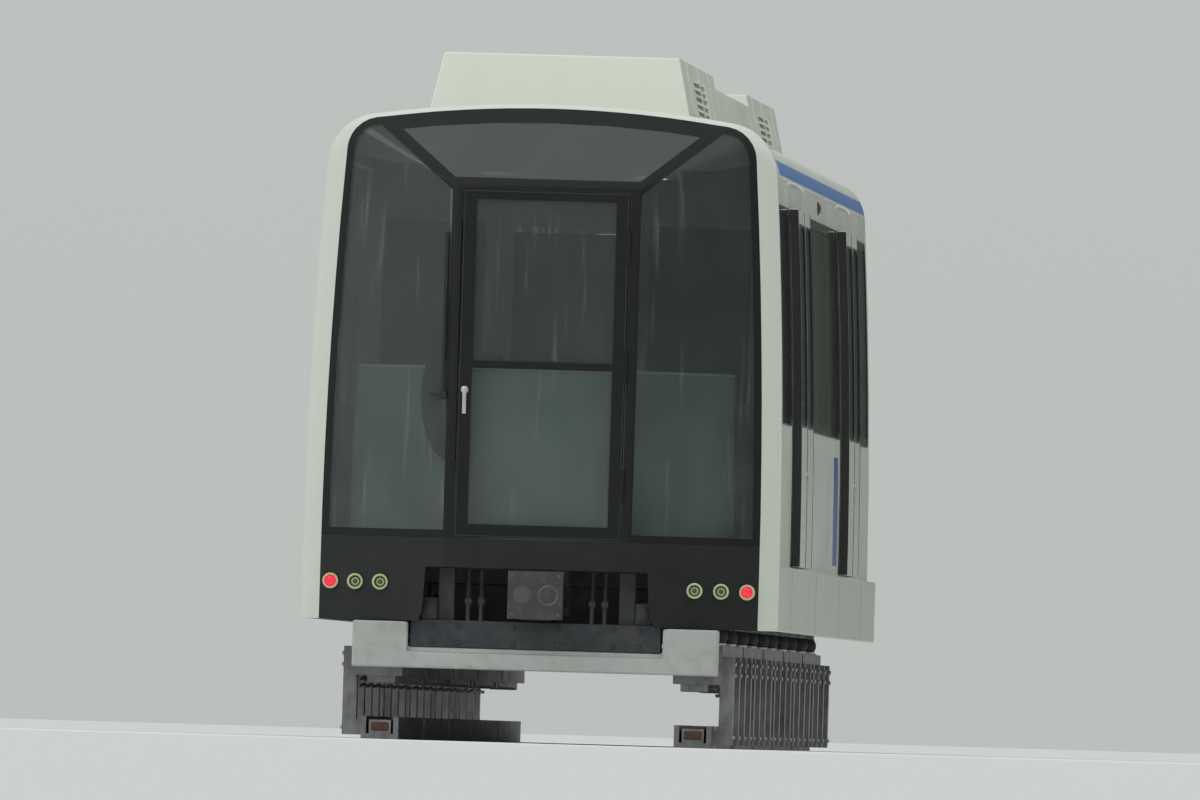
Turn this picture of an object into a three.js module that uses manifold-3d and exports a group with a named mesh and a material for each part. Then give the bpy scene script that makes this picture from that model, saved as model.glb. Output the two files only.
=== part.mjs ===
import * as THREE from "three";
import { mergeVertices } from "three/addons/utils/BufferGeometryUtils.js";
import { ConvexGeometry } from "three/addons/geometries/ConvexGeometry.js";
import Module from "manifold-3d";

// Lead cab car of an urban maglev train: a welded body on five bogies, each a pair of levitation modules that
// reach round the guide rails from outside. Millimetres, the cab faces -Y and +Z is up. Left and right are
// the driver's, so left is +X. z = 0 is the underside of the magnets, on which the car is parked.

const FIT = 0.3; // gap between pieces that touch
const RUN = 6; // gap around pieces that move
const FRONT = -7000; // foremost point, the front door's hinge barrels
const REAR = 7000; // open end of the gangway bellows

const body = {
  half: 1245, // half width of the side panels at the sill
  lean: 75, // how far each side leans in at the shoulder
  proud: 50, // how far rim, skirts and door leaves stand out from the panels
  wall: 90,
  sill: 1000,
  floor: 1040,
  shoulder: 3130,
  shoulderRadius: 240,
  crown: 3425,
  ceiling: 3235,
  front: -6440,
  rear: 6760,
  endWall: 80,
};
const rim = {
  front: -6520,
  low: 645,
  inset: 55, // from the body's outline in to the glass at the sides
  crownProud: 40, // over the roof the rim thins to a lip between these two heights above the crown
  crownGlass: 15,
};
const nose = {
  base: -6600,
  face: -6988,
  half: 500,
  top: 3010,
  shell: 50,
  glass: 16,
  glassLow: 1100,
  bar: 40,
  topBar: 80,
};
const frontDoor = {
  half: 450,
  low: 1106,
  top: 2984,
  thick: 50,
  border: 70,
  head: 50,
  midBar: 2040,
  midHalf: 20,
  barrel: 12,
};
const pocket = { half: 600, waist: 615, flare: 700, top: 940, waistZ: 700, low: 500 };
const windowBand = { low: 1790, top: 2980, corner: 60, glass: 12, ledge: 35 };
const doorway = { half: 740, low: 1040, top: 2930 };
const leaf = { width: 800, low: 1012, top: 2985, gap: 6, seam: 5, pane: 10, tongue: 10, tongueLow: 985 };
const bogie = { count: 5, pitch: 2620, length: 2500 };

// Plan positions along the car: doorway centres, and the glass bands with the pillars behind them.
const DOORWAYS = [
  { name: "front", y: -3135 },
  { name: "rear", y: 3415 },
];
const BANDS = [
  { name: "cab", y0: -6300, y1: -4060, pillars: [-5180] },
  { name: "middle", y0: -2200, y1: 2480, pillars: [-640, 920] },
  { name: "end", y0: 4350, y1: 6540, pillars: [5445] },
];
const SIDES = [
  { name: "left", sign: 1 },
  { name: "right", sign: -1 },
];

const wasm = await Module();
wasm.setup();

// A closed geometry as a solid that can be joined and cut.
function solid(geometry) {
  const bare = geometry.clone();
  bare.deleteAttribute("normal");
  bare.deleteAttribute("uv");
  const merged = mergeVertices(bare, 1e-3);
  return new wasm.Manifold(
    new wasm.Mesh({
      numProp: 3,
      vertProperties: merged.attributes.position.array,
      triVerts: new Uint32Array(merged.index.array),
    }),
  );
}

function join(...solids) {
  return solids.reduce((whole, next) => whole.add(next));
}

function cut(whole, ...tools) {
  return tools.reduce((left, tool) => left.subtract(tool), whole);
}

function outline(points) {
  return new THREE.Shape(points.map(([a, b]) => new THREE.Vector2(a, b)));
}

function extrude(shape, depth) {
  return new THREE.ExtrudeGeometry(shape, { depth, bevelEnabled: false, curveSegments: 3 });
}

// A cross-section of x and z points, carried from y0 to y1.
function alongY(points, y0, y1) {
  return solid(extrude(outline(points), y1 - y0).rotateX(Math.PI / 2).translate(0, y1, 0));
}

// A side view of y and z points, carried from x0 to x1.
function alongX(shape, x0, x1) {
  const turn = new THREE.Matrix4().makeBasis(
    new THREE.Vector3(0, 1, 0),
    new THREE.Vector3(0, 0, 1),
    new THREE.Vector3(1, 0, 0),
  );
  return solid(extrude(shape, x1 - x0).applyMatrix4(turn).translate(x0, 0, 0));
}

// A plan of x and y points, carried from z0 to z1.
function alongZ(points, z0, z1) {
  return solid(extrude(outline(points), z1 - z0).translate(0, 0, z0));
}

function box(x0, x1, y0, y1, z0, z1) {
  const block = new THREE.BoxGeometry(x1 - x0, y1 - y0, z1 - z0);
  return solid(block.translate((x0 + x1) / 2, (y0 + y1) / 2, (z0 + z1) / 2));
}

// A round bar from z0 to z1 on an upright axis.
const PIN_SIDES = 16;

function post(x, y, z0, z1, radius, sides = PIN_SIDES) {
  const bar = new THREE.CylinderGeometry(radius, radius, z1 - z0, sides);
  return solid(bar.rotateX(Math.PI / 2).translate(x, y, (z0 + z1) / 2));
}

// A bore for a pin of so many sides: its flats clear the pin's corners, so that the pin can turn in it.
function boreRadius(pin, sides) {
  return (pin + FIT) / Math.cos(Math.PI / sides);
}

// A round bar from y0 to y1 on an axis along the car.
function barrelAlongY(x, z, y0, y1, radius, sides = 16) {
  return solid(new THREE.CylinderGeometry(radius, radius, y1 - y0, sides).translate(x, (y0 + y1) / 2, z));
}

function hull(points) {
  return solid(new ConvexGeometry(points.map(([x, y, z]) => new THREE.Vector3(x, y, z))));
}

function roundedRectangle(a0, a1, b0, b1, r) {
  const shape = new THREE.Shape();
  shape.moveTo(a0 + r, b0);
  shape.lineTo(a1 - r, b0);
  shape.absarc(a1 - r, b0 + r, r, -Math.PI / 2, 0, false);
  shape.lineTo(a1, b1 - r);
  shape.absarc(a1 - r, b1 - r, r, 0, Math.PI / 2, false);
  shape.lineTo(a0 + r, b1);
  shape.absarc(a0 + r, b1 - r, r, Math.PI / 2, Math.PI, false);
  shape.lineTo(a0, b0 + r);
  shape.absarc(a0 + r, b0 + r, r, Math.PI, Math.PI * 1.5, false);
  return shape;
}

// Each side leans in with the square of the height, in flat facets that every piece of the side shares.
const FACETS = 4;
const facetHeight = (body.shoulder - body.sill) / FACETS;
const BREAKS = Array.from({ length: FACETS + 1 }, (_, i) => body.sill + i * facetHeight);
const leanAt = (z) => body.lean * ((z - body.sill) / (body.shoulder - body.sill)) ** 2;

// Half width of a side panel's outer face at height z.
function sideHalf(z) {
  if (z <= body.sill) return body.half;
  const i = Math.min(FACETS - 1, Math.floor((z - body.sill) / facetHeight));
  const t = (z - BREAKS[i]) / facetHeight;
  return body.half - leanAt(BREAKS[i]) * (1 - t) - leanAt(BREAKS[i + 1]) * t;
}

// Points up the +X side from z0 to z1, moved outwards by offset.
function sideLine(offset, z0, z1) {
  const heights = [z0, ...BREAKS.filter((z) => z > z0 + 1 && z < z1 - 1), z1];
  return heights.map((z) => [sideHalf(z) + offset, z]);
}

const ARC_STEPS = 6;
const CROWN_STEPS = 3;
const LEAN_ANGLE = Math.atan((sideHalf(body.shoulder - facetHeight) - sideHalf(body.shoulder)) / facetHeight);
const ARC_END = THREE.MathUtils.degToRad(81);
const ARC_X = sideHalf(body.shoulder) - body.shoulderRadius * Math.cos(LEAN_ANGLE);
const ARC_Z = body.shoulder - body.shoulderRadius * Math.sin(LEAN_ANGLE);

// The shoulder's arc and the crowned roof, from the shoulder of the +X side to the middle of the roof, moved
// outwards by offset. Where the crown moves by another amount, the arc slides along the side to meet it.
function halfRoof(offset, crownOffset = offset) {
  const points = [];
  const lift = crownOffset - offset;
  const radius = body.shoulderRadius + offset;
  for (let i = 0; i <= ARC_STEPS; i++) {
    const angle = LEAN_ANGLE + ((ARC_END - LEAN_ANGLE) * i) / ARC_STEPS;
    const x = ARC_X - lift * Math.tan(LEAN_ANGLE) + radius * Math.cos(angle);
    points.push([x, ARC_Z + lift + radius * Math.sin(angle)]);
  }
  const [endX, endZ] = points[ARC_STEPS];
  const top = body.crown + crownOffset;
  for (let i = 1; i <= CROWN_STEPS; i++) {
    const x = endX * (1 - i / CROWN_STEPS);
    points.push([x, top - (top - endZ) * (x / endX) ** 2]);
  }
  return points;
}

function mirrored(half) {
  const last = half[half.length - 1];
  const other = (last[0] === 0 ? half.slice(0, -1) : half).map(([x, z]) => [-x, z]);
  return [...half, ...other.reverse()];
}

// The whole body outline down to height low, moved outwards by offset.
function section(offset, low, crownOffset = offset) {
  const side = sideLine(offset, low, body.shoulder).slice(0, -1);
  return mirrored([...side, ...halfRoof(offset, crownOffset)]);
}

// A sheet that follows the +X side panel, between two offsets from its outer face.
function sideSheet(offset0, offset1, z0, z1, y0, y1) {
  return alongY([...sideLine(offset0, z0, z1), ...sideLine(offset1, z0, z1).reverse()], y0, y1);
}

const paint = (color, roughness, metalness = 0) => ({ color, roughness, metalness });
const FINISHES = {
  white: paint(0xe4e6da, 0.35),
  lowerWhite: paint(0xd2d4c8, 0.4),
  rimWhite: paint(0xeceee4, 0.3),
  black: paint(0x1d2021, 0.4),
  graphite: paint(0x33393a, 0.45),
  glass: paint(0x2a302e, 0.08),
  roofGrey: paint(0xe2e4da, 0.5),
  steel: paint(0x4b4f52, 0.5, 0.6),
  magnet: paint(0x3a3432, 0.55, 0.5),
  deflector: paint(0x9a9c96, 0.45, 0.4),
  lamp: paint(0xd8d6c8, 0.15),
  rubber: paint(0x232425, 0.85),
  teal: paint(0x54665f, 0.6),
  seat: paint(0x2f4b6e, 0.8),
  lining: paint(0xcfd0c8, 0.6),
};

const car = new THREE.Group();

// Adds a named solid to a group, in that group's own frame.
function add(group, name, finish, shape) {
  const made = shape.getMesh();
  const geometry = new THREE.BufferGeometry();
  const positions = new Float32Array(made.numVert * 3);
  for (let i = 0; i < made.numVert; i++) {
    positions.set(made.vertProperties.subarray(i * made.numProp, i * made.numProp + 3), i * 3);
  }
  geometry.setAttribute("position", new THREE.BufferAttribute(positions, 3));
  geometry.setIndex(new THREE.BufferAttribute(made.triVerts, 1));
  geometry.computeVertexNormals();
  const mesh = new THREE.Mesh(geometry, new THREE.MeshStandardMaterial(FINISHES[finish]));
  mesh.name = name;
  group.add(mesh);
  return mesh;
}

function groupAt(parent, x, y, z) {
  const group = new THREE.Group();
  group.position.set(x, y, z);
  parent.add(group);
  return group;
}

// A group for one side of the car: what is drawn for the +X side is mirrored for the other.
function sideGroup(parent, sign) {
  const group = groupAt(parent, 0, 0, 0);
  group.scale.x = sign;
  return group;
}

// Underframe: floor, side sills, cross-members, the slide plates over the air springs and the jacking pads.
const underframe = {
  low: 860,
  deck: 940,
  sillWidth: 115,
  centreHalf: 150,
  plate: { x0: 700, x1: 1010, y: 600, halfLength: 190, low: 760 },
  jack: { x0: 1045, x1: 1225, halfLength: 110, low: 780, y: [-4480, 4480] },
  platform: { half: 1060, noseHalf: 430, front: -6915 },
  drawBox: { half: 150, low: 700, web: 90, lip: 50, length: 330, arm: 60, plate: 40, pin: 30, bite: 10 },
};
const bogieYs = Array.from({ length: bogie.count }, (_, i) => (i - (bogie.count - 1) / 2) * bogie.pitch);
const couplerHeight = 800;
const couplerPivot = { front: -6380, rear: 6700 };

// A draw box hangs under the centre sill: a web, and two plates that hold the coupler's upright pin.
function drawBox(pivotY, inward) {
  const { half, low, web, lip, length, arm, plate, pin, bite } = underframe.drawBox;
  const reach = (from) => [pivotY + inward * from, pivotY + inward * length].sort((a, b) => a - b);
  const [webStart, webEnd] = reach(web);
  const [plateStart, plateEnd] = reach(-lip);
  return join(
    box(-half, half, webStart, webEnd, low, underframe.low + 1),
    box(-half, half, plateStart, plateEnd, couplerHeight + arm, couplerHeight + arm + plate),
    box(-half, half, plateStart, plateEnd, couplerHeight - arm - plate, couplerHeight - arm),
    post(0, pivotY, couplerHeight - arm - bite, couplerHeight + arm + bite, pin),
  );
}

function makeUnderframe() {
  const { low, deck, sillWidth, centreHalf, plate, jack, platform } = underframe;
  const inner = sideHalf(body.floor) - body.wall - FIT;
  const pieces = [
    box(-body.half, body.half, body.front + FIT, body.rear - FIT, deck, body.sill),
    box(-inner, inner, body.front + FIT, body.rear - FIT, body.sill - 1, body.floor),
    box(-centreHalf, centreHalf, body.front + FIT, body.rear - FIT, low, deck + 1),
    alongZ(
      [
        [platform.half, body.front + 10],
        [platform.half, nose.base],
        [platform.noseHalf, platform.front],
        [-platform.noseHalf, platform.front],
        [-platform.half, nose.base],
        [-platform.half, body.front + 10],
      ],
      deck,
      body.floor,
    ),
    drawBox(couplerPivot.front, 1),
    drawBox(couplerPivot.rear, -1),
  ];
  for (const { sign } of SIDES) {
    const [s0, s1] = sign > 0 ? [body.half - sillWidth, body.half] : [-body.half, -body.half + sillWidth];
    pieces.push(box(s0, s1, body.front + FIT, body.rear - FIT, low, deck + 1));
    for (const y of jack.y) {
      const [x0, x1] = sign > 0 ? [jack.x0, jack.x1] : [-jack.x1, -jack.x0];
      pieces.push(box(x0, x1, y - jack.halfLength, y + jack.halfLength, jack.low, low + 1));
    }
    for (const centre of bogieYs) {
      for (const end of [-1, 1]) {
        const [x0, x1] = sign > 0 ? [plate.x0, plate.x1] : [-plate.x1, -plate.x0];
        const y = centre + end * plate.y;
        pieces.push(box(x0, x1, y - plate.halfLength, y + plate.halfLength, plate.low, low + 1));
      }
    }
  }
  for (const centre of bogieYs) {
    for (const end of [-1, 1]) {
      const y = centre + end * plate.y;
      pieces.push(box(-body.half + 1, body.half - 1, y - 80, y + 80, low, deck + 1));
    }
  }
  return join(...pieces);
}
add(car, "underframe", "steel", makeUnderframe());

// Underfloor equipment: closed cases hung from the centre sill between the bogies' rails, on one cable tray.
const cases = { half: 600, low: 600, halfLengths: [450, 900, 900, 900, 450] };
const tray = { half: 100, low: 700, end: 5600 };

function makeUnderfloorEquipment() {
  const top = underframe.low - FIT;
  const row = bogieYs.map((y, i) => {
    const halfLength = cases.halfLengths[i];
    return box(-cases.half, cases.half, y - halfLength, y + halfLength, cases.low, top);
  });
  return join(box(-tray.half, tray.half, -tray.end, tray.end, tray.low, top), ...row);
}
add(car, "underfloor_equipment", "steel", makeUnderfloorEquipment());

// Side walls: each is a full-height panel with its doorways and windows cut, the glass bands let into it.
const wallTop = body.shoulder - FIT;
const pillarHalf = 45;

function bandShape(band, shrink) {
  const { low, top, corner } = windowBand;
  return roundedRectangle(band.y0 + shrink, band.y1 - shrink, low + shrink, top - shrink, corner);
}

// A cutter for openings in the side walls, wider than the wall is thick.
const through = { x0: 1000, x1: 1400 };

function makeSideWall() {
  let wall = sideSheet(-body.wall, 0, body.sill + FIT, wallTop, body.front + FIT, body.rear - FIT);
  for (const { y } of DOORWAYS) {
    wall = cut(
      wall,
      box(through.x0, through.x1, y - doorway.half, y + doorway.half, doorway.low, doorway.top),
    );
  }
  for (const band of BANDS) {
    const { glass, low, top, ledge } = windowBand;
    const recess = sideSheet(-glass - FIT, 30, low - 20, top + 20, band.y0, band.y1);
    wall = cut(wall, recess.intersect(alongX(bandShape(band, 0), through.x0, through.x1)));
    const pillarEdges = band.pillars.flatMap((y) => [y - pillarHalf, y + pillarHalf]);
    const edges = [band.y0 + ledge, ...pillarEdges, band.y1 - ledge];
    for (let i = 0; i < edges.length; i += 2) {
      wall = cut(wall, box(through.x0, through.x1, edges[i], edges[i + 1], low + ledge, top - ledge));
    }
  }
  return wall;
}

function makeBandGlass(band) {
  const sheet = sideSheet(-windowBand.glass, 0, windowBand.low - 20, windowBand.top + 20, band.y0, band.y1);
  return sheet.intersect(alongX(bandShape(band, FIT), through.x0, through.x1));
}

// Skirts: a pressed panel hung from the sill, its top ledge grooved to guide the door leaves.
const skirt = { low: rim.low, plate: 30, ledge: 50, groove: 20 };
const skirtOuter = body.half + body.proud;
const tongueX = body.half + (leaf.gap + body.proud) / 2;

function makeSkirt() {
  const g0 = tongueX - leaf.tongue / 2 - FIT;
  const g1 = tongueX + leaf.tongue / 2 + FIT;
  const profile = [
    [skirtOuter - skirt.plate, skirt.low],
    [skirtOuter, skirt.low],
    [skirtOuter, body.sill],
    [g1, body.sill],
    [g1, body.sill - skirt.groove],
    [g0, body.sill - skirt.groove],
    [g0, body.sill],
    [body.half + FIT, body.sill],
    [body.half + FIT, body.sill - skirt.ledge],
    [skirtOuter - skirt.plate, body.sill - skirt.ledge],
  ];
  return alongY(profile, body.front + FIT, body.rear + body.endWall);
}

// Door leaf: a bonded panel with a glazed upper half. It runs outside the wall, on a tongue in the
// skirt's groove.
const leafWindow = { margin: 85, low: 1790, top: 2900, corner: 60, rebate: 4, frame: 10 };

function makeLeaf(y0, y1) {
  const panel = sideSheet(leaf.gap, body.proud, leaf.low, leaf.top, y0, y1);
  const hole = roundedRectangle(
    y0 + leafWindow.margin,
    y1 - leafWindow.margin,
    leafWindow.low,
    leafWindow.top,
    leafWindow.corner,
  );
  const outside = body.proud - leafWindow.rebate;
  const { margin, low, top, frame } = leafWindow;
  const face = sideSheet(outside, body.proud + 5, low - 20, top + 20, y0, y1);
  const rebate = face.intersect(alongX(hole, through.x0, through.x1));
  const inside = outside - leaf.pane;
  const recess = sideSheet(0, inside, low + frame, top - frame, y0 + margin + frame, y1 - margin - frame);
  const tongue = box(
    tongueX - leaf.tongue / 2,
    tongueX + leaf.tongue / 2,
    y0 + 30,
    y1 - 30,
    leaf.tongueLow,
    leaf.low + 5,
  );
  return join(cut(panel, rebate, recess), tongue);
}

// Bench seats along the walls: a plinth, a cushion and a back that ends under the window.
const bench = { depth: 480, seat: 1480, plinth: 1360, back: 1880, backDepth: 90, toe: 80 };
const BENCHES = [
  { name: "middle", y0: -2180, y1: 2460 },
  { name: "end", y0: 4380, y1: 6640 },
];

function makeBench(y0, y1) {
  const wallX = sideHalf(bench.back) - body.wall - 4;
  const profile = [
    [wallX, body.floor + FIT],
    [wallX, bench.back],
    [wallX - bench.backDepth * 0.6, bench.back],
    [wallX - bench.backDepth, bench.seat],
    [wallX - bench.depth, bench.seat - 15],
    [wallX - bench.depth, bench.plinth],
    [wallX - bench.depth + bench.toe, bench.plinth],
    [wallX - bench.depth + bench.toe, body.floor + FIT],
  ];
  return alongY(profile, y0, y1);
}

for (const { name, sign } of SIDES) {
  const side = sideGroup(car, sign);
  add(side, `side_wall_${name}`, "white", makeSideWall());
  add(side, `skirt_${name}`, "lowerWhite", makeSkirt());
  for (const band of BANDS) {
    add(side, `window_${band.name}_${name}`, "glass", makeBandGlass(band));
  }
  for (const { name: place, y0, y1 } of BENCHES) {
    add(side, `bench_${place}_${name}`, "seat", makeBench(y0, y1));
  }
  for (const { name: place, y } of DOORWAYS) {
    const half = leaf.seam / 2;
    add(side, `leaf_${place}_${name}_fore`, "white", makeLeaf(y - leaf.width, y - half));
    add(side, `leaf_${place}_${name}_aft`, "white", makeLeaf(y + half, y + leaf.width));
  }
}

// Roof: one crowned shell as thick as roof and ceiling together.
const cove = { half: 860, rise: 40 };

function makeRoof() {
  const inner = sideHalf(body.shoulder) - body.wall;
  const under = [
    [-inner, body.shoulder],
    [-inner, body.shoulder + cove.rise],
    [-cove.half, body.ceiling],
    [cove.half, body.ceiling],
    [inner, body.shoulder + cove.rise],
    [inner, body.shoulder],
  ];
  return alongY([...mirrored(halfRoof(0)), ...under], body.front + FIT, body.rear - FIT);
}
add(car, "roof_shell", "roofGrey", makeRoof());

// Roof equipment: two air conditioners under trapezoid covers, and a lower fairing between them.
const aircon = { baseHalf: 710, topHalf: 640, top: 3750, slope: 60, foot: 70 };
const grille = { length: 1500, low: 3465, high: 3665, depth: 55, rows: 5, bar: 16 };
const ROOF_UNITS = [
  { name: "aircon_front", y0: -5910, y1: -1660 },
  { name: "aircon_rear", y0: 2540, y1: 6340 },
];
const roofFairing = { y0: -1660 + FIT, y1: 2540 - FIT, top: 3690 };
const coverSide = (aircon.baseHalf - aircon.topHalf) / (aircon.top - body.crown);
const coverHalf = (z) => aircon.baseHalf - coverSide * (z - body.crown);

function roofCover(y0, y1, top, slope) {
  const foot = body.crown - aircon.foot;
  const rectangle = (half, start, end, z) => [
    [half, start, z],
    [-half, start, z],
    [half, end, z],
    [-half, end, z],
  ];
  const block = hull([
    ...rectangle(coverHalf(foot), y0, y1, foot),
    ...rectangle(coverHalf(top), y0 + slope, y1 - slope, top),
  ]);
  return cut(block, alongY([...mirrored(halfRoof(FIT)), [-900, 3200], [900, 3200]], y0 - 50, y1 + 50));
}

// A bay of slats let into each sloped side of a roof unit.
function grilleCuts(centre) {
  const { length, low, high, depth, rows, bar } = grille;
  const pitch = (high - low) / rows;
  return SIDES.flatMap(({ sign }) =>
    Array.from({ length: rows }, (_, row) => {
      const z = low + row * pitch;
      const [x0, x1] = [coverHalf(z) - depth, aircon.baseHalf + 45];
      const [a, b] = sign > 0 ? [x0, x1] : [-x1, -x0];
      return box(a, b, centre - length / 2, centre + length / 2, z + bar / 2, z + pitch - bar / 2);
    }),
  );
}

for (const { name, y0, y1 } of ROOF_UNITS) {
  add(car, name, "roofGrey", cut(roofCover(y0, y1, aircon.top, aircon.slope), ...grilleCuts((y0 + y1) / 2)));
}
add(car, "roof_fairing", "roofGrey", roofCover(roofFairing.y0, roofFairing.y1, roofFairing.top, 0));

// Rear end wall with the gangway doorway, and the bellows round it.
const gangway = {
  half: 400,
  top: 3000,
  frameHalf: 560,
  frameTop: 3110,
  low: 960,
  folds: 3,
  crest: 90,
  valley: 50,
};

const DRAWBAR_NOTCH = 240; // half width of the gap under the wall, where the drawbar swings

function makeEndWall() {
  const [y0, y1] = [body.rear, body.rear + body.endWall];
  return cut(
    alongY(section(0, underframe.low), y0, y1),
    box(-gangway.half, gangway.half, y0 - 5, y1 + 5, body.floor, gangway.top),
    box(-DRAWBAR_NOTCH, DRAWBAR_NOTCH, y0 - 5, y1 + 5, underframe.low - 5, underframe.deck),
  );
}
add(car, "rear_end_wall", "white", makeEndWall());

function bellowsRing(half, low, top, y0, y1, wall) {
  const ring = box(-half, half, y0, y1, low, top);
  return cut(ring, box(-half + wall, half - wall, y0 - 1, y1 + 1, low + wall, top - wall));
}

function makeBellows() {
  const y0 = body.rear + body.endWall + FIT;
  const fold = (REAR - y0) / (2 * gangway.folds);
  const rings = [];
  for (let i = 0; i < gangway.folds; i++) {
    const start = y0 + 2 * i * fold;
    const { frameHalf, low, frameTop, crest, valley } = gangway;
    const dip = crest - valley;
    rings.push(
      bellowsRing(frameHalf, low, frameTop, start, start + fold, crest),
      bellowsRing(frameHalf - dip, low + dip, frameTop - dip, start + fold - 1, start + 2 * fold, valley),
    );
  }
  return join(...rings);
}
add(car, "gangway_bellows", "rubber", makeBellows());

// Cab rim: the white moulding round the nose, its front edge bevelled in to the glass.
const placed = (points, y) => points.map(([x, z]) => [x, y, z]);
const noseSection = (inset, low) => section(-rim.inset - inset, low, rim.crownGlass - inset);

function makeRim() {
  const outer = section(body.proud, rim.low, rim.crownProud);
  const inner = noseSection(0, rim.low);
  const block = hull([
    ...placed(outer, body.front),
    ...placed(outer, rim.front),
    ...placed(inner, nose.base),
  ]);
  return cut(block, alongY(noseSection(-FIT, rim.low - 50), nose.base - 50, body.front + 50));
}
add(car, "cab_rim", "rimWhite", makeRim());

// Nose: a faceted shell in front of the rim. Inset by a depth, it gives the inner faces of panes and frame.
const SIDE_SLIP = 0.26; // how far a facet's edge moves in for each millimetre of inset
const TOP_SLIP = 0.44;
const BASE_SLIP = 0.5;

function noseHull(inset, low) {
  const outlineHere = noseSection(inset, low);
  const faceHalf = nose.half - inset * SIDE_SLIP;
  const faceTop = nose.top - inset * TOP_SLIP;
  const face = nose.face + inset;
  return hull([
    ...placed(outlineHere, body.front + (inset > 0 ? 100 : 0)),
    ...placed(outlineHere, nose.base + inset * BASE_SLIP),
    [faceHalf, face, low],
    [-faceHalf, face, low],
    [faceHalf, face, faceTop],
    [-faceHalf, face, faceTop],
  ]);
}
const noseShell = (thickness) => cut(noseHull(0, rim.low), noseHull(thickness, rim.low - 100));

// The diagonal bars run from the front door's upper corners to the shoulders.
const diagonal = { foot: [500, 3010], head: [905, 3350], halfWidth: 30 };

function diagonalLine(shift) {
  const [ax, az] = diagonal.foot;
  const [bx, bz] = diagonal.head;
  const length = Math.hypot(bx - ax, bz - az);
  const [dx, dz] = [(bx - ax) / length, (bz - az) / length];
  const at = (along) => [ax + dx * along + dz * shift, az + dz * along - dx * shift];
  return [at(-60), at(length + 300)];
}

const paneRow = { low: nose.glassLow + nose.bar, inner: 510, topLow: 3050 };

// The outlines of the side panes and of the top pane as prisms along the car, made smaller by shrink.
function sidePanePrism(shrink) {
  const whole = alongY(noseSection(nose.bar + shrink, paneRow.low + shrink), FRONT - 100, body.front);
  const [foot, head] = diagonalLine(diagonal.halfWidth + shrink);
  const wedge = alongY([foot, head, [-200, head[1]], [-200, foot[1]]], FRONT - 200, body.front + 100);
  const middle = box(-2000, paneRow.inner + shrink, FRONT - 200, body.front + 100, 0, 4000);
  return cut(whole, wedge, middle);
}

function topPanePrism(shrink) {
  const [foot, head] = diagonalLine(-diagonal.halfWidth - shrink);
  const slope = (head[0] - foot[0]) / (head[1] - foot[1]);
  const low = paneRow.topLow + shrink;
  const lowHalf = foot[0] + slope * (low - foot[1]);
  const wedge = alongY([[lowHalf, low], head, [-head[0], head[1]], [-lowHalf, low]], FRONT - 100, body.front);
  const upper = section(-rim.inset - nose.bar - shrink, 2500, rim.crownGlass - nose.topBar - shrink);
  return wedge.intersect(alongY(upper, FRONT - 200, body.front + 100));
}

function mirrorX(shape) {
  const made = shape.getMesh();
  const positions = new Float32Array(made.vertProperties);
  for (let i = 0; i < positions.length; i += made.numProp) {
    positions[i] = -positions[i];
  }
  const triVerts = new Uint32Array(made.triVerts);
  triVerts.reverse();
  return new wasm.Manifold(new wasm.Mesh({ numProp: made.numProp, vertProperties: positions, triVerts }));
}

function makeNoseFrame() {
  const above = box(-2000, 2000, FRONT - 300, body.front + 200, nose.glassLow, 4000);
  const frame = noseShell(nose.shell).intersect(above);
  const gap = frontDoor.half + RUN;
  const opening = box(-gap, gap, FRONT - 200, body.front, nose.glassLow - 1, frontDoor.top + RUN);
  const sidePane = sidePanePrism(0);
  const open = cut(frame, opening, sidePane, mirrorX(sidePane), topPanePrism(0));
  const doorBarrels = hingeBarrels("door", boreRadius(frontDoor.barrel, hinge.sides), FIT);
  return join(cut(open, ...doorBarrels), ...hingeBarrels("frame", frontDoor.barrel, 0));
}

// Front door hinges: three pairs of barrels on the left edge, the lower of each pair on the frame.
const hinge = { x: frontDoor.half + RUN / 2, heights: [1400, 2045, 2690], barrelLength: 90, sides: 12 };

function hingeBarrels(owner, radius, growth) {
  return hinge.heights.map((z) => {
    const low = z + (owner === "door" ? FIT / 2 : -hinge.barrelLength);
    const high = z + (owner === "door" ? hinge.barrelLength : -FIT / 2);
    return post(hinge.x, nose.face, low - growth, high + growth, radius, hinge.sides);
  });
}

// The door's pane lies in a rebate that is open to the cab, behind two lights with a bar between them.
const doorRebate = {
  half: frontDoor.half - 55,
  y: nose.face + 14,
  low: frontDoor.low + 55,
  top: frontDoor.top - 35,
  glass: 15,
};

function makeFrontDoor() {
  const { half, low, top, thick, border, head, midBar, midHalf } = frontDoor;
  const [front, back] = [nose.face, nose.face + thick];
  const plate = box(-half, half, front, back, low, top);
  const { half: lightHalf, y: lightFace, low: lightLow, top: lightTop } = doorRebate;
  const rebate = box(-lightHalf, lightHalf, lightFace, back + 1, lightLow, lightTop);
  const lights = [
    box(-half + border, half - border, front - 1, back + 1, low + border, midBar - midHalf),
    box(-half + border, half - border, front - 1, back + 1, midBar + midHalf, top - head),
  ];
  const frameBarrels = hingeBarrels("frame", boreRadius(frontDoor.barrel, hinge.sides), FIT);
  return join(cut(plate, rebate, ...lights, ...frameBarrels), ...hingeBarrels("door", frontDoor.barrel, 0));
}

function makeFrontDoorGlass() {
  const { half, y, low, top, glass } = doorRebate;
  return box(-half + FIT, half - FIT, y + FIT, y + glass, low + FIT, top - FIT);
}

add(car, "nose_frame", "black", makeNoseFrame());
for (const { name, sign } of SIDES) {
  const pane = noseShell(nose.glass).intersect(sidePanePrism(FIT));
  add(sideGroup(car, sign), `nose_pane_${name}`, "glass", pane);
}
add(car, "nose_pane_top", "glass", noseShell(nose.glass).intersect(topPanePrism(FIT)));
add(car, "front_door", "black", makeFrontDoor());
add(car, "front_door_glass", "glass", makeFrontDoorGlass());

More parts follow.
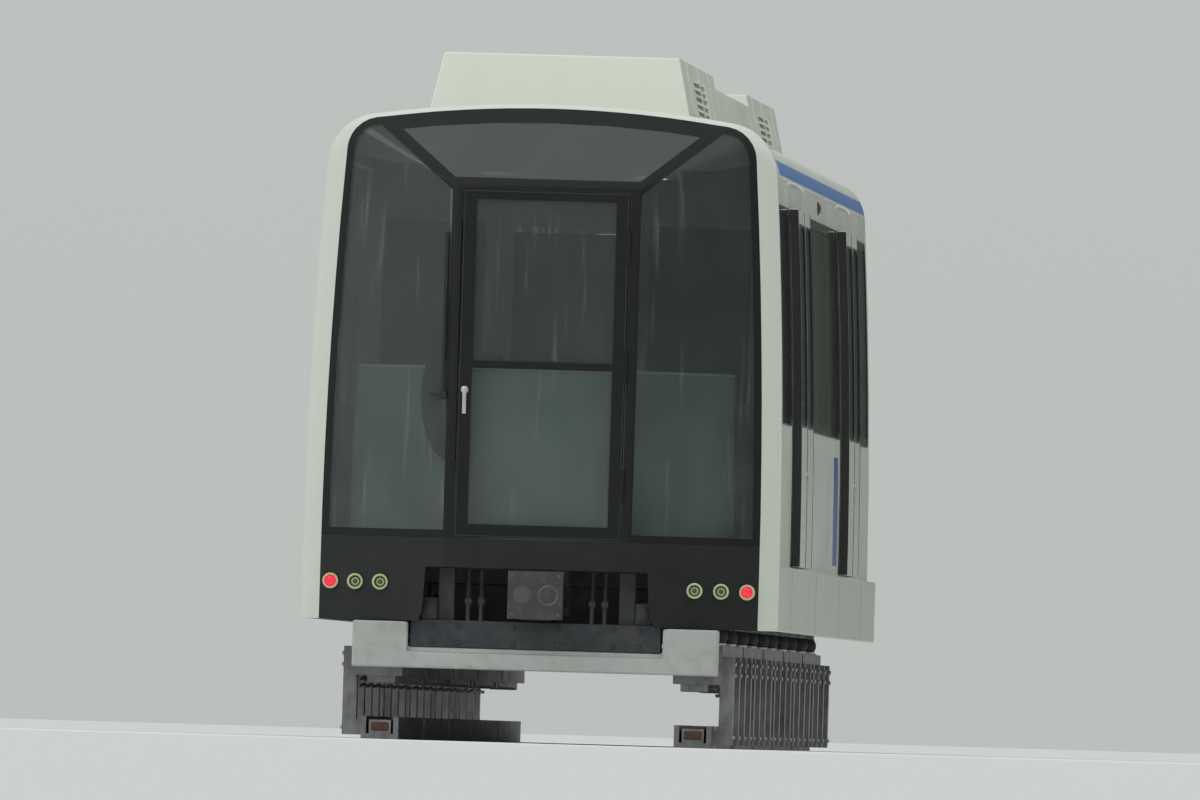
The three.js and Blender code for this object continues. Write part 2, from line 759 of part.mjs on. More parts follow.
// Apron: the dark moulding under the glass, with the coupler pocket and three lamps a side.
const lamp = { xs: [1130, 992, 852], z: 850, radius: 44, proud: 32, shell: 40, length: 110 };
const lampBracket = { thick: 25, half: 30, inner: 30, outer: 20 };

// Depth of the nose's sloped facet at distance x from the middle.
function facetY(x) {
  const baseHalf = body.half - rim.inset;
  return nose.face + ((nose.base - nose.face) * (x - nose.half)) / (baseHalf - nose.half);
}

function makeApron() {
  const below = box(-2000, 2000, FRONT - 300, body.front + 200, rim.low - 50, nose.glassLow - FIT);
  const shell = noseShell(lamp.shell).intersect(below);
  const mouth = [
    [-pocket.half, pocket.top],
    [-pocket.waist, pocket.waistZ],
    [-pocket.flare, pocket.low],
    [pocket.flare, pocket.low],
    [pocket.waist, pocket.waistZ],
    [pocket.half, pocket.top],
  ];
  const holes = SIDES.flatMap(({ sign }) =>
    lamp.xs.map((x) => barrelAlongY(sign * x, lamp.z, facetY(x) - 200, facetY(x) + 200, lamp.radius + FIT)),
  );
  return cut(shell, alongY(mouth, FRONT - 100, nose.base - 90), ...holes);
}
add(car, "apron", "graphite", makeApron());

// Three lamps on a bracket behind the apron.
function makeLamps() {
  const lamps = lamp.xs.map((x) =>
    barrelAlongY(x, lamp.z, facetY(x) - lamp.proud, facetY(x) + lamp.length, lamp.radius),
  );
  const { thick, half, inner, outer } = lampBracket;
  const [outerX, , innerX] = lamp.xs;
  const back = (x) => facetY(x) + lamp.length;
  const bracket = alongZ(
    [
      [innerX - inner, back(innerX) - thick],
      [outerX + outer, back(outerX) - thick],
      [outerX + outer, back(outerX)],
      [innerX - inner, back(innerX)],
    ],
    lamp.z - half,
    lamp.z + half,
  );
  return join(bracket, ...lamps);
}
for (const { name, sign } of SIDES) {
  add(sideGroup(car, sign), `lamps_${name}`, "lamp", makeLamps());
}

// Coupler pocket: upright struts under the cab floor carry a low bar, and the bar carries the deflector.
const struts = { x: 490, half: 45, y0: -6800, y1: -6700, barHalf: 680, bar: [505, 655] };
const deflector = { half: 980, block: [690, 990], low: 390, top: 480, blockTop: 640, y0: -6870, y1: -6700 };

function makeStruts() {
  const { x, half, y0, y1, barHalf, bar } = struts;
  return join(
    box(-barHalf, barHalf, y0 - 40, y1, bar[0], bar[1]),
    box(-x - half, -x + half, y0, y1, bar[1] - 1, underframe.deck - FIT),
    box(x - half, x + half, y0, y1, bar[1] - 1, underframe.deck - FIT),
  );
}

function makeDeflector() {
  const { half, block, low, top, blockTop, y0, y1 } = deflector;
  const beam = box(-half, half, y0, y1, low, struts.bar[0] - FIT);
  const ends = SIDES.map(({ sign }) => {
    const [x0, x1] = sign > 0 ? block : [-block[1], -block[0]];
    return box(x0, x1, y0, y1, low, blockTop);
  });
  return join(cut(beam, box(-half - 10, half + 10, y0 - 1, y0 + 30, top, 600)), ...ends);
}
add(car, "coupler_struts", "steel", makeStruts());
add(car, "deflector", "deflector", makeDeflector());

// Couplers: a shank on an upright pin, with a flat-faced head in front and a drawbar plate behind.
const coupler = {
  eye: 58,
  eyeSides: 20,
  shank: 48,
  head: { x: 120, z: 105, length: 130 },
  face: { x: 150, z: 130, thick: 22 },
};

function makeCoupler(pivotY, faceY) {
  const out = Math.sign(faceY);
  const { eye, eyeSides, shank, head, face } = coupler;
  const between = (a, b) => [Math.min(a, b), Math.max(a, b)];
  const block = (x, z, from, to) => box(-x, x, ...between(from, to), couplerHeight - z, couplerHeight + z);
  const { arm, pin } = underframe.drawBox;
  const [low, high] = [couplerHeight - arm + FIT, couplerHeight + arm - FIT];
  const headStart = faceY - out * head.length;
  const whole = join(
    post(0, pivotY, low, high, eye, eyeSides),
    block(shank, shank, pivotY, headStart + out),
    block(head.x, head.z, headStart, faceY - out * face.thick),
    block(face.x, face.z, faceY - out * (face.thick + 1), faceY),
  );
  return cut(whole, post(0, pivotY, low - 5, high + 5, boreRadius(pin, PIN_SIDES)));
}
add(car, "front_coupler", "steel", makeCoupler(couplerPivot.front, -6990));
add(car, "rear_drawbar", "steel", makeCoupler(couplerPivot.rear, 6990));

// Wiper on the right-hand pane, parked upright beside the front door, its motor in a rounded housing inside.
const wiper = {
  x: -535,
  pivotZ: 1870,
  bossRadius: 24,
  bladeHalf: 9,
  blade: [2050, 2750],
  bladeFront: -6988,
  armHalf: 7,
  armTop: 2420,
  armFront: -6998,
  foot: { x0: -600, x1: -515, half: 9 },
};
const wiperHousing = {
  x: -470,
  z: 1855,
  halfWidth: 190,
  halfHeight: 355,
  front: nose.shell + FIT,
  end: 145,
  steps: 20,
};

function makeWiper() {
  const { x, pivotZ, bossRadius, bladeHalf, blade, bladeFront, armHalf, armTop, armFront, foot } = wiper;
  const inside = nose.face + 80;
  const whole = join(
    box(x - bladeHalf, x + bladeHalf, bladeFront, inside, blade[0], blade[1]),
    box(x - armHalf, x + armHalf, armFront, bladeFront + 12, pivotZ, armTop),
    barrelAlongY(x, pivotZ, armFront, inside, bossRadius, 12),
    box(foot.x0, foot.x1, armFront, inside, pivotZ - foot.half, pivotZ + foot.half),
  );
  return cut(whole, noseHull(-FIT, rim.low));
}
add(car, "wiper", "rubber", makeWiper());

function makeWiperHousing() {
  const { x, z, halfWidth, halfHeight, front, end, steps } = wiperHousing;
  const ellipse = Array.from({ length: steps }, (_, i) => {
    const angle = (i / steps) * Math.PI * 2;
    return [x + halfWidth * Math.cos(angle), z + halfHeight * Math.sin(angle)];
  });
  const layer = cut(noseHull(front, rim.low), noseHull(end, rim.low - 100));
  const besideDoor = box(x - halfWidth - 10, -frontDoor.half - 30, FRONT, body.front, 1000, 3000);
  return layer.intersect(alongY(ellipse, FRONT, body.front)).intersect(besideDoor);
}
add(car, "wiper_housing", "black", makeWiperHousing());

// Cab: a hollow console across the nose at waist height, the driver's seat and the bulkhead's passage.
const consoleDesk = { top: 2030, thick: 160, apron: 120, depth: 330, kneeHalf: 975 };

function makeConsole() {
  const { top, thick, apron, depth, kneeHalf } = consoleDesk;
  const front = wiperHousing.end + FIT;
  const behind = noseHull(front, rim.low - 100).translate([0, depth, 0]);
  const layer = cut(noseHull(front, rim.low), behind);
  const desk = layer.intersect(box(-2000, 2000, FRONT, body.front + 200, body.floor + FIT, top));
  const under = box(-kneeHalf, kneeHalf, FRONT, body.front + 300, body.floor - 10, top - thick);
  return cut(desk, noseHull(front + apron, rim.low).intersect(under));
}
add(car, "cab_console", "teal", makeConsole());

const seat = { x: -420, y: -5900, half: 230, base: 1480, cushion: 90, back: 2130, backThick: 85, post: 70 };

function makeSeat() {
  const { x, y, half, base, cushion, back, backThick, post: postRadius } = seat;
  return join(
    post(x, y, body.floor + FIT, base - cushion + 1, postRadius),
    box(x - half, x + half, y - half, y + half, base - cushion, base),
    box(x - half + 20, x + half - 20, y + half - backThick + 5, y + half + 5, base - 1, back),
  );
}
add(car, "cab_seat", "seat", makeSeat());

const bulkhead = {
  y0: -4640,
  y1: -4600,
  top: body.shoulder - 20,
  passHalf: 360,
  passTop: 2900,
  light: { x0: 450, x1: 1010, low: 1900, top: 2850 },
};

function makeBulkhead() {
  const { y0, y1, top, passHalf, passTop, light } = bulkhead;
  const wall = alongY(section(-body.wall - 4, body.floor + FIT), y0, y1);
  const opening = (x0, x1, low, high) => box(x0, x1, y0 - 5, y1 + 5, low, high);
  return cut(
    wall,
    opening(-2000, 2000, top, 4000),
    opening(-passHalf, passHalf, body.floor - 10, passTop),
    opening(light.x0, light.x1, light.low, light.top),
    opening(-light.x1, -light.x0, light.low, light.top),
  );
}
add(car, "cab_bulkhead", "lining", makeBulkhead());

// Levitation modules. Local to a bogie, each reaches over the guide rail, down outside it and back under it.
const railTop = 300;
const motor = { x0: 770, x1: 940, halfLength: 950, gap: 18 };
const skid = { x0: 775, x1: 925, y: 1100, halfLength: 110, gap: 8 };
const beam = { x0: 735, x1: 1000, low: 345, top: 560 };
const arm = { x0: 985, x1: 1060, halfWidth: 65, low: 20, foot: 105, top: 500, y: [-1080, -360, 360, 1080] };
const magnet = { x0: 748, x1: 952, back: 28, top: 122, pole: 28, halfLength: 1235 };
const coil = { inset: 42, top: 104, halfLength: 285, y: [-930, -310, 310, 930] };
const spring = { x: 855, y: 600, radius: 130, sides: 12 };
const crossBeam = { y: 850, halfWidth: 55, low: 420, top: 540 };

function makeModule() {
  const half = bogie.length / 2;
  const { x0, x1, back, top, pole, halfLength } = magnet;
  const channel = [
    [x0, 0],
    [x1, 0],
    [x1, top],
    [x1 - pole, top],
    [x1 - pole, back],
    [x0 + pole, back],
    [x0 + pole, top],
    [x0, top],
  ];
  const bracket = [
    [x1 - 1, arm.low],
    [arm.x1, arm.low],
    [arm.x1, arm.top],
    [beam.x1 - 1, arm.top],
    [beam.x1 - 1, beam.low],
    [arm.x0, beam.low],
    [arm.x0, arm.foot],
    [x1 - 1, arm.foot],
  ];
  const pieces = [
    box(beam.x0, beam.x1, -half, half, beam.low, beam.top),
    box(motor.x0, motor.x1, -motor.halfLength, motor.halfLength, railTop + motor.gap, beam.low + 1),
    alongY(channel, -halfLength, halfLength),
  ];
  for (const end of [-1, 1]) {
    const skidY = end * skid.y;
    const beamY = end * crossBeam.y;
    pieces.push(
      box(
        skid.x0,
        skid.x1,
        skidY - skid.halfLength,
        skidY + skid.halfLength,
        railTop + skid.gap,
        beam.low + 1,
      ),
      post(spring.x, end * spring.y, beam.top - 1, underframe.plate.low - FIT, spring.radius, spring.sides),
      box(
        FIT / 2,
        beam.x0 + 1,
        beamY - crossBeam.halfWidth,
        beamY + crossBeam.halfWidth,
        crossBeam.low,
        crossBeam.top,
      ),
    );
  }
  for (const y of arm.y) {
    pieces.push(alongY(bracket, y - arm.halfWidth, y + arm.halfWidth));
  }
  const [coilX0, coilX1] = [x0 + coil.inset, x1 - coil.inset];
  for (const y of coil.y) {
    pieces.push(box(coilX0, coilX1, y - coil.halfLength, y + coil.halfLength, back - 1, coil.top));
  }
  return join(...pieces);
}

bogieYs.forEach((y, i) => {
  const group = groupAt(car, 0, y, 0);
  for (const { name, sign } of SIDES) {
    add(sideGroup(group, sign), `module_${i + 1}_${name}`, "steel", makeModule());
  }
});

export default car;
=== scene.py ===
import math

import bmesh
import bpy
import numpy as np
from mathutils import Matrix, Vector


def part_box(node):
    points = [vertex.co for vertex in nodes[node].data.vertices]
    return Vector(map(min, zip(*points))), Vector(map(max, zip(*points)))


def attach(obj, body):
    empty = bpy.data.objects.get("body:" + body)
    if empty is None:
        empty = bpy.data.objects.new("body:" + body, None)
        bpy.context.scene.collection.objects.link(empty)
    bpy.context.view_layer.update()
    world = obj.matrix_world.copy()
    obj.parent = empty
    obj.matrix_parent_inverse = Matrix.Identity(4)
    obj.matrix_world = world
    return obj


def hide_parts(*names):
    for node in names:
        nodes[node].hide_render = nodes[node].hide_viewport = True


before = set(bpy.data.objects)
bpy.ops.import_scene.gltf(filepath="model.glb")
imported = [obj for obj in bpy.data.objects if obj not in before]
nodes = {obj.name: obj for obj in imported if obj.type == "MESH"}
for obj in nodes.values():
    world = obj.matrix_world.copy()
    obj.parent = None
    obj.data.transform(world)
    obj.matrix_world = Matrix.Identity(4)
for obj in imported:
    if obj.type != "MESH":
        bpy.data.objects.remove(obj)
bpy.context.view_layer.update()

scene = bpy.context.scene

# Camera: where the photographer stood, about 157 m down the line and a little to the driver's left, with the
# lens almost at the level on which the car stands. A longer lens brings the one car up to fill the picture.
CAMERA_DISTANCE = 157.0
CAMERA_AZIMUTH = math.radians(2.8)
CAMERA_HEIGHT = 0.06
CAMERA_ROLL = math.radians(1.7)
AIM = Vector((0.30, -6.6, 1.87))
VIEW_WIDTH = 6.5
SENSOR = 36.0

lens = bpy.data.cameras.new("camera")
lens.sensor_width = SENSOR
lens.lens = SENSOR * CAMERA_DISTANCE / VIEW_WIDTH
lens.clip_start = 1.0
lens.clip_end = 1000.0
camera = bpy.data.objects.new("camera", lens)
scene.collection.objects.link(camera)
eye = Vector((
    AIM.x + CAMERA_DISTANCE * math.sin(CAMERA_AZIMUTH),
    AIM.y - CAMERA_DISTANCE * math.cos(CAMERA_AZIMUTH),
    CAMERA_HEIGHT,
))
look = (AIM - eye).to_track_quat("-Z", "Y").to_matrix().to_4x4()
camera.matrix_world = Matrix.Translation(eye) @ look @ Matrix.Rotation(CAMERA_ROLL, 4, "Z")
scene.camera = camera

# Studio: a plain pale floor under an overcast sky, brighter overhead than at the horizon, and two large soft
# panels that give the white paint its shape. The sky glows where the right nose pane mirrors it, and soft dark flags
# stand where the left pane and the side of the car do.
FLOOR_REACH = 1500.0
SKY_PATCHES = [
    # direction of the middle, cosines of the angles at which the patch starts and is full, colour
    ((-0.85, -0.52, 0.05), (0.70, 0.95), (0.86, 0.92, 0.90)),
    ((0.85, -0.52, 0.05), (0.80, 0.95), (0.05, 0.06, 0.05)),
    ((0.284, 0.958, 0.035), (0.9588, 0.9659), (0.06, 0.07, 0.06)),
]
PANELS = [
    # place, size, power in watts
    ((-9.0, -16.0, 13.0), 9.0, 450.0),
    ((11.0, -8.0, 12.0), 9.0, 230.0),
]

scene.view_settings.view_transform = "Standard"
floor_mesh = bpy.data.meshes.new("studio_floor")
corners = [(-FLOOR_REACH, -FLOOR_REACH, 0), (FLOOR_REACH, -FLOOR_REACH, 0)]
corners += [(x, -y, z) for x, y, z in reversed(corners)]
floor_mesh.from_pydata(corners, [], [(0, 1, 2, 3)])
studio_floor = bpy.data.objects.new("studio_floor", floor_mesh)
scene.collection.objects.link(studio_floor)
floor_paint = bpy.data.materials.new("studio_floor")
floor_paint.use_nodes = True
floor_shader = floor_paint.node_tree.nodes["Principled BSDF"]
floor_shader.inputs["Base Color"].default_value = (0.72, 0.73, 0.72, 1)
floor_shader.inputs["Roughness"].default_value = 0.85
floor_mesh.materials.append(floor_paint)

sky = bpy.data.worlds.new("overcast")
sky.use_nodes = True
scene.world = sky
sky_nodes, sky_links = sky.node_tree.nodes, sky.node_tree.links
direction = sky_nodes.new("ShaderNodeTexCoord")
split_direction = sky_nodes.new("ShaderNodeSeparateXYZ")
sky_ramp = sky_nodes.new("ShaderNodeValToRGB")
sky_links.new(direction.outputs["Generated"], split_direction.inputs[0])
sky_links.new(split_direction.outputs["Z"], sky_ramp.inputs["Fac"])
sky_ramp.color_ramp.elements[0].position = 0.0
sky_ramp.color_ramp.elements[0].color = (0.50, 0.52, 0.50, 1)
sky_ramp.color_ramp.elements[1].position = 0.75
sky_ramp.color_ramp.elements[1].color = (0.92, 0.95, 0.95, 1)
sky_nodes["Background"].inputs["Strength"].default_value = 1.0
sky_colour = sky_ramp.outputs["Color"]
for middle, (faint, full), colour in SKY_PATCHES:
    dot = sky_nodes.new("ShaderNodeVectorMath")
    dot.operation = "DOT_PRODUCT"
    dot.inputs[1].default_value = middle
    fade = sky_nodes.new("ShaderNodeMapRange")
    fade.inputs["From Min"].default_value = faint
    fade.inputs["From Max"].default_value = full
    mix = sky_nodes.new("ShaderNodeMix")
    mix.data_type = "RGBA"
    mix.inputs["B"].default_value = (*colour, 1)
    sky_links.new(direction.outputs["Generated"], dot.inputs[0])
    sky_links.new(dot.outputs["Value"], fade.inputs["Value"])
    sky_links.new(fade.outputs[0], mix.inputs["Factor"])
    sky_links.new(sky_colour, mix.inputs["A"])
    sky_colour = mix.outputs["Result"]
sky_links.new(sky_colour, sky_nodes["Background"].inputs["Color"])

for number, (place, size, power) in enumerate(PANELS):
    panel = bpy.data.lights.new(f"panel_{number}", "AREA")
    panel.size = size
    panel.energy = power
    panel_object = bpy.data.objects.new(f"panel_{number}", panel)
    panel_object.location = place
    panel_object.rotation_mode = "QUATERNION"
    panel_object.rotation_quaternion = (Vector((0, -3, 1.5)) - Vector(place)).to_track_quat("-Z", "Y")
    scene.collection.objects.link(panel_object)

# Underframe: a welded steel grid under the floor, folded and ground so that no edge is quite sharp, sprayed dull
# dark grey and dusted with brake and road dirt. It is the car's back: everything else is fixed to it.


class Finish:
    """A finish under construction: a Principled shader, and patterns laid on the car's own coordinates."""

    def __init__(self, name, colour, roughness, metallic=0.0, coat=0.0, alpha=1.0):
        self.material = bpy.data.materials.new(name)
        self.material.use_nodes = True
        self.nodes = self.material.node_tree.nodes
        self.links = self.material.node_tree.links
        self.shader = self.nodes["Principled BSDF"]
        self.place = self.nodes.new("ShaderNodeTexCoord").outputs["Object"]
        self.shader.inputs["Base Color"].default_value = (*colour, 1)
        self.shader.inputs["Roughness"].default_value = roughness
        self.shader.inputs["Metallic"].default_value = metallic
        self.shader.inputs["Coat Weight"].default_value = coat
        self.shader.inputs["Alpha"].default_value = alpha

    def noise(self, scale, stretch=(1, 1, 1), detail=4.0):
        """Cloudy noise from 0 to 1. Its features are about 1 / (scale * stretch) metres long on each axis."""
        mapping = self.nodes.new("ShaderNodeMapping")
        mapping.inputs["Scale"].default_value = stretch
        texture = self.nodes.new("ShaderNodeTexNoise")
        texture.inputs["Scale"].default_value = scale
        texture.inputs["Detail"].default_value = detail
        self.links.new(self.place, mapping.inputs["Vector"])
        self.links.new(mapping.outputs[0], texture.inputs["Vector"])
        return texture.outputs["Fac"]

    def axis(self, letter):
        split = self.nodes.new("ShaderNodeSeparateXYZ")
        self.links.new(self.place, split.inputs[0])
        return split.outputs[letter]

    def facing(self, letter):
        """How far the surface faces up along an axis: its normal's part on that axis."""
        split = self.nodes.new("ShaderNodeSeparateXYZ")
        self.links.new(self.nodes.new("ShaderNodeNewGeometry").outputs["Normal"], split.inputs[0])
        return split.outputs[letter]

    def times(self, a, b):
        node = self.nodes.new("ShaderNodeMath")
        node.operation = "MULTIPLY"
        self.links.new(a, node.inputs[0])
        self.links.new(b, node.inputs[1])
        return node.outputs[0]

    def carried(self, value, low, high, from_value=0.0, to_value=1.0):
        """The value carried in a straight line from low..high to from_value..to_value, and held at the ends."""
        node = self.nodes.new("ShaderNodeMapRange")
        self.links.new(value, node.inputs["Value"])
        node.inputs["From Min"].default_value = low
        node.inputs["From Max"].default_value = high
        node.inputs["To Min"].default_value = from_value
        node.inputs["To Max"].default_value = to_value
        return node.outputs[0]

    def between(self, letter, low, high, soft=0.0015):
        """1 where the coordinate lies between low and high, with an edge as sharp as a masked spray line."""
        rising = self.carried(self.axis(letter), low - soft, low + soft)
        falling = self.carried(self.axis(letter), high - soft, high + soft, 1.0, 0.0)
        return self.times(rising, falling)

    def lay(self, mask, colour):
        """Lays a second colour over the present one where the mask is 1."""
        base = self.shader.inputs["Base Color"]
        mix = self.nodes.new("ShaderNodeMix")
        mix.data_type = "RGBA"
        self.links.new(mask, mix.inputs["Factor"])
        if base.is_linked:
            self.links.new(base.links[0].from_socket, mix.inputs["A"])
        else:
            mix.inputs["A"].default_value = base.default_value
        mix.inputs["B"].default_value = (*colour, 1)
        self.links.new(mix.outputs["Result"], base)
        return self

    def rough(self, value):
        self.links.new(value, self.shader.inputs["Roughness"])
        return self

    def bump(self, height, strength, distance):
        node = self.nodes.new("ShaderNodeBump")
        node.inputs["Strength"].default_value = strength
        node.inputs["Distance"].default_value = distance
        self.links.new(height, node.inputs["Height"])
        normal = self.shader.inputs["Normal"]
        if normal.is_linked:
            self.links.new(normal.links[0].from_socket, node.inputs["Normal"])
        self.links.new(node.outputs[0], normal)
        return self


def chassis_paint(name, colour, dust):
    """Dull two-coat paint: large cloudy fading, dust that settles in patches, and a slightly grainy skin."""
    paint = Finish(name, colour, 0.55)
    paint.lay(paint.carried(paint.noise(1.6), 0.35, 0.75, 0.0, 0.45), tuple(c * 0.62 for c in colour))
    paint.lay(paint.carried(paint.noise(14.0, detail=6.0), 0.48, 0.78, 0.0, 0.55), dust)
    paint.rough(paint.carried(paint.noise(9.0), 0.3, 0.7, 0.42, 0.75))
    paint.bump(paint.noise(160.0), 0.25, 0.0006)
    return paint.material


def shade(mesh, angle=32.0):
    """Shades the mesh smooth across edges that turn by less than the angle."""
    mesh.polygons.foreach_set("use_smooth", np.ones(len(mesh.polygons), dtype=bool))
    mesh.set_sharp_from_angle(angle=math.radians(angle))


def fit(name, mesh, body, material, replaced=()):
    """Sets a finished mesh on the body that carries it."""
    mesh.materials.append(material)
    piece = bpy.data.objects.new(name, mesh)
    scene.collection.objects.link(piece)
    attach(piece, body)
    if replaced:
        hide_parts(*replaced)
    return piece


def round_arrises(piece, width, segments=2):
    """Rolls every sharp edge of a piece to a small radius."""
    bevel = piece.modifiers.new("rolled_edges", "BEVEL")
    bevel.width = width
    bevel.segments = segments
    bevel.limit_method = "ANGLE"
    bevel.angle_limit = math.radians(32)
    bevel.harden_normals = True
    return piece


def soften(node_name, body, material, width=0.004, segments=2):
    """A solid of the frame with its triangles joined into whole faces and its edges rolled to a radius."""
    mesh = bpy.data.meshes.new(f"{node_name}_pressed")
    work = bmesh.new()
    work.from_mesh(nodes[node_name].data)
    bmesh.ops.remove_doubles(work, verts=work.verts, dist=0.00002)
    bmesh.ops.dissolve_limit(work, angle_limit=math.radians(0.4), verts=work.verts, edges=work.edges)
    work.to_mesh(mesh)
    work.free()
    mesh.materials.clear()
    shade(mesh)
    piece = fit(f"{node_name}_pressed", mesh, body, material, [node_name])
    return round_arrises(piece, width, segments)


dark_steel = chassis_paint("dark_steel_paint", (0.075, 0.08, 0.085), (0.16, 0.135, 0.11))
soften("underframe", "car_body", dark_steel, 0.005)

# Underfloor equipment: closed steel cases on one cable tray, with pressed lids held by toggle catches and a row
# of cooling fins on each flank. They hang from the centre sill and show from the side below the skirts.


def rounded_loop(a0, a1, b0, b1, radius, steps=4, between=0):
    """Four quarter arcs of one radius, joined by straight sides, run counter-clockwise. Between is the number of
    points along each straight side."""
    angle = np.concatenate([np.linspace(quarter, quarter + 1, steps + 1) for quarter in range(4)]) * np.pi / 2
    centre_a = np.repeat([a1 - radius, a0 + radius, a0 + radius, a1 - radius], steps + 1)
    centre_b = np.repeat([b1 - radius, b1 - radius, b0 + radius, b0 + radius], steps + 1)
    loop = np.stack([centre_a + radius * np.cos(angle), centre_b + radius * np.sin(angle)], axis=-1)
    arcs = loop.reshape(4, steps + 1, 2)
    part = np.linspace(0, 1, between + 2)[None, 1:-1, None]
    sides = arcs[:, -1:] * (1 - part) + np.roll(arcs, -1, axis=0)[:, :1] * part
    return np.concatenate([arcs, sides], axis=1).reshape(-1, 2)


def block(low, high, radius=0.006, steps=2):
    """A block with rounded edges: rounded rectangles stacked in z, drawn in near both ends by a quarter circle."""
    turn = np.linspace(0, np.pi / 2, steps + 1)
    inset = np.concatenate([radius * (1 - np.sin(turn)), radius * (1 - np.sin(turn[::-1]))])
    lift = radius * (1 - np.cos(turn))
    height = np.concatenate([low[2] + lift, (high[2] - lift)[::-1]])
    rings = []
    for shrink, z in zip(inset, height):
        corner = max(radius - shrink, 0.05 * radius)
        loop = rounded_loop(low[0] + shrink, high[0] - shrink, low[1] + shrink, high[1] - shrink, corner, steps)
        rings.append(np.column_stack([loop, np.full(len(loop), z)]))
    return np.array(rings)


def skin(name, *stacks, wrap=False, angle=32.0):
    """One mesh through stacks of rings, each an array (ring, point, xyz). Each ring is joined to the next by
    four-cornered faces. The last then joins the first, or both ends are filled. The sign of the volume round the
    stack's middle turns the faces outwards."""
    points, faces, start = [], [], 0
    for rings in stacks:
        rings = np.asarray(rings, dtype=float)
        count, around = rings.shape[:2]
        ring, step = np.meshgrid(np.arange(count if wrap else count - 1), np.arange(around), indexing="ij")
        after_ring, after_step = (ring + 1) % count, (step + 1) % around
        square = np.stack([
            ring * around + step,
            ring * around + after_step,
            after_ring * around + after_step,
            after_ring * around + step,
        ], axis=-1).reshape(-1, 4)
        flat = rings.reshape(-1, 3)
        a, b, c, d = (flat[square[:, i]] - flat.mean(axis=0) for i in range(4))
        volume = np.einsum("ij,ij->", a, np.cross(b, c)) + np.einsum("ij,ij->", a, np.cross(c, d))
        made = square.tolist()
        if not wrap:
            made.append(list(range(around))[::-1])
            made.append(list(range((count - 1) * around, count * around)))
        if volume < 0:
            made = [face[::-1] for face in made]
        points.append(flat)
        faces += [[start + index for index in face] for face in made]
        start += len(flat)
    mesh = bpy.data.meshes.new(name)
    mesh.from_pydata(np.concatenate(points).tolist(), [], faces)
    shade(mesh, angle)
    return mesh


CASE_COUNT = 5
CASE_LENGTHS = [0.90, 1.80, 1.80, 1.80, 0.90]
CASE_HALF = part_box("underfloor_equipment")[1][0]
CASE_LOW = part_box("underfloor_equipment")[0][2]
CASE_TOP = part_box("underfloor_equipment")[1][2]
BOGIE_PITCH = (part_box("module_5_left")[0][1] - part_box("module_1_left")[0][1]) / (CASE_COUNT - 1)
BOGIE_PLACES = [(number - 2) * BOGIE_PITCH for number in range(CASE_COUNT)]
LID_MARGIN = 0.03
FIN_PITCH = 0.05

soften("underfloor_equipment", "car_body", dark_steel, 0.006)
lids, fins, catches = [], [], []
for middle, length in zip(BOGIE_PLACES, CASE_LENGTHS):
    y0, y1 = middle - length / 2 + LID_MARGIN, middle + length / 2 - LID_MARGIN
    lids.append(block((-CASE_HALF + LID_MARGIN, y0, CASE_LOW - 0.006), (CASE_HALF - LID_MARGIN, y1, CASE_LOW + 0.004)))
    for side in (-1, 1):
        outer = side * CASE_HALF
        for y in np.arange(y0 + 0.1, y1 - 0.1, FIN_PITCH):
            x0, x1 = sorted((outer - side * 0.004, outer + side * 0.028))
            fins.append(block((x0, y - 0.004, CASE_LOW + 0.05), (x1, y + 0.004, CASE_TOP - 0.06), 0.002, 1))
        for y in (y0 + 0.06, y1 - 0.06):
            x0, x1 = sorted((outer - side * 0.003, outer + side * 0.016))
            catches.append(block((x0, y - 0.018, CASE_LOW + 0.01), (x1, y + 0.018, CASE_LOW + 0.075), 0.004))
fit("equipment_lids", skin("equipment_lids", *lids), "car_body", dark_steel)
fit("equipment_fins", skin("equipment_fins", *fins), "car_body", dark_steel)
fit("equipment_catches", skin("equipment_catches", *catches), "car_body", dark_steel)

# Levitation modules: aluminium beams with the drive motor under them, brackets down the outside of the rail, and
# the electromagnets below it. Two air springs a side carry the car, and each module's skids rest on the rail.
MODULE_SIDES = {"left": 1, "right": -1}
COIL_PLACES = [-0.93, -0.31, 0.31, 0.93]
COIL_HALF_LENGTH = 0.285
COIL_X = (0.790, 0.910)
COIL_LOW, COIL_TOP = 0.030, 0.1055
SPRING_X = 0.855
SPRING_PLACES = [-0.6, 0.6]
SPRING_RADIUS = 0.131
SPRING_LOW, SPRING_TOP = 0.561, 0.7595
ARM_PLACES = [-1.08, -0.36, 0.36, 1.08]
ARM_FACE = 1.060
BEAM_X = (0.735, 1.000)
BEAM_LOW, BEAM_TOP = 0.345, 0.560


def turned(profile, centre, axis="y", around=32):
    """A surface of revolution: at each distance along the axis, a circle of the profile's radius round it."""
    profile = np.asarray(profile, dtype=float)
    angle = np.linspace(0, 2 * np.pi, around, endpoint=False)
    along = np.broadcast_to(profile[:, :1], (len(profile), around))
    first, second = profile[:, 1:] * np.cos(angle), profile[:, 1:] * np.sin(angle)
    order = {"x": (along, first, second), "y": (first, along, second), "z": (first, second, along)}
    return np.stack(order[axis], axis=-1) + np.asarray(centre, dtype=float)


def bellows_profile(low, high, radius, folds, depth, steps=12):
    """Radius against height of a rubber bellows: the radius swells and shrinks as the absolute sine of the height,
    once for each fold, and closes in at the bead at both ends."""
    t = np.linspace(0, 1, folds * steps + 1)
    swell = np.abs(np.sin(t * np.pi * folds)) ** 0.6
    return np.column_stack([low + (high - low) * t, radius - depth + depth * swell])


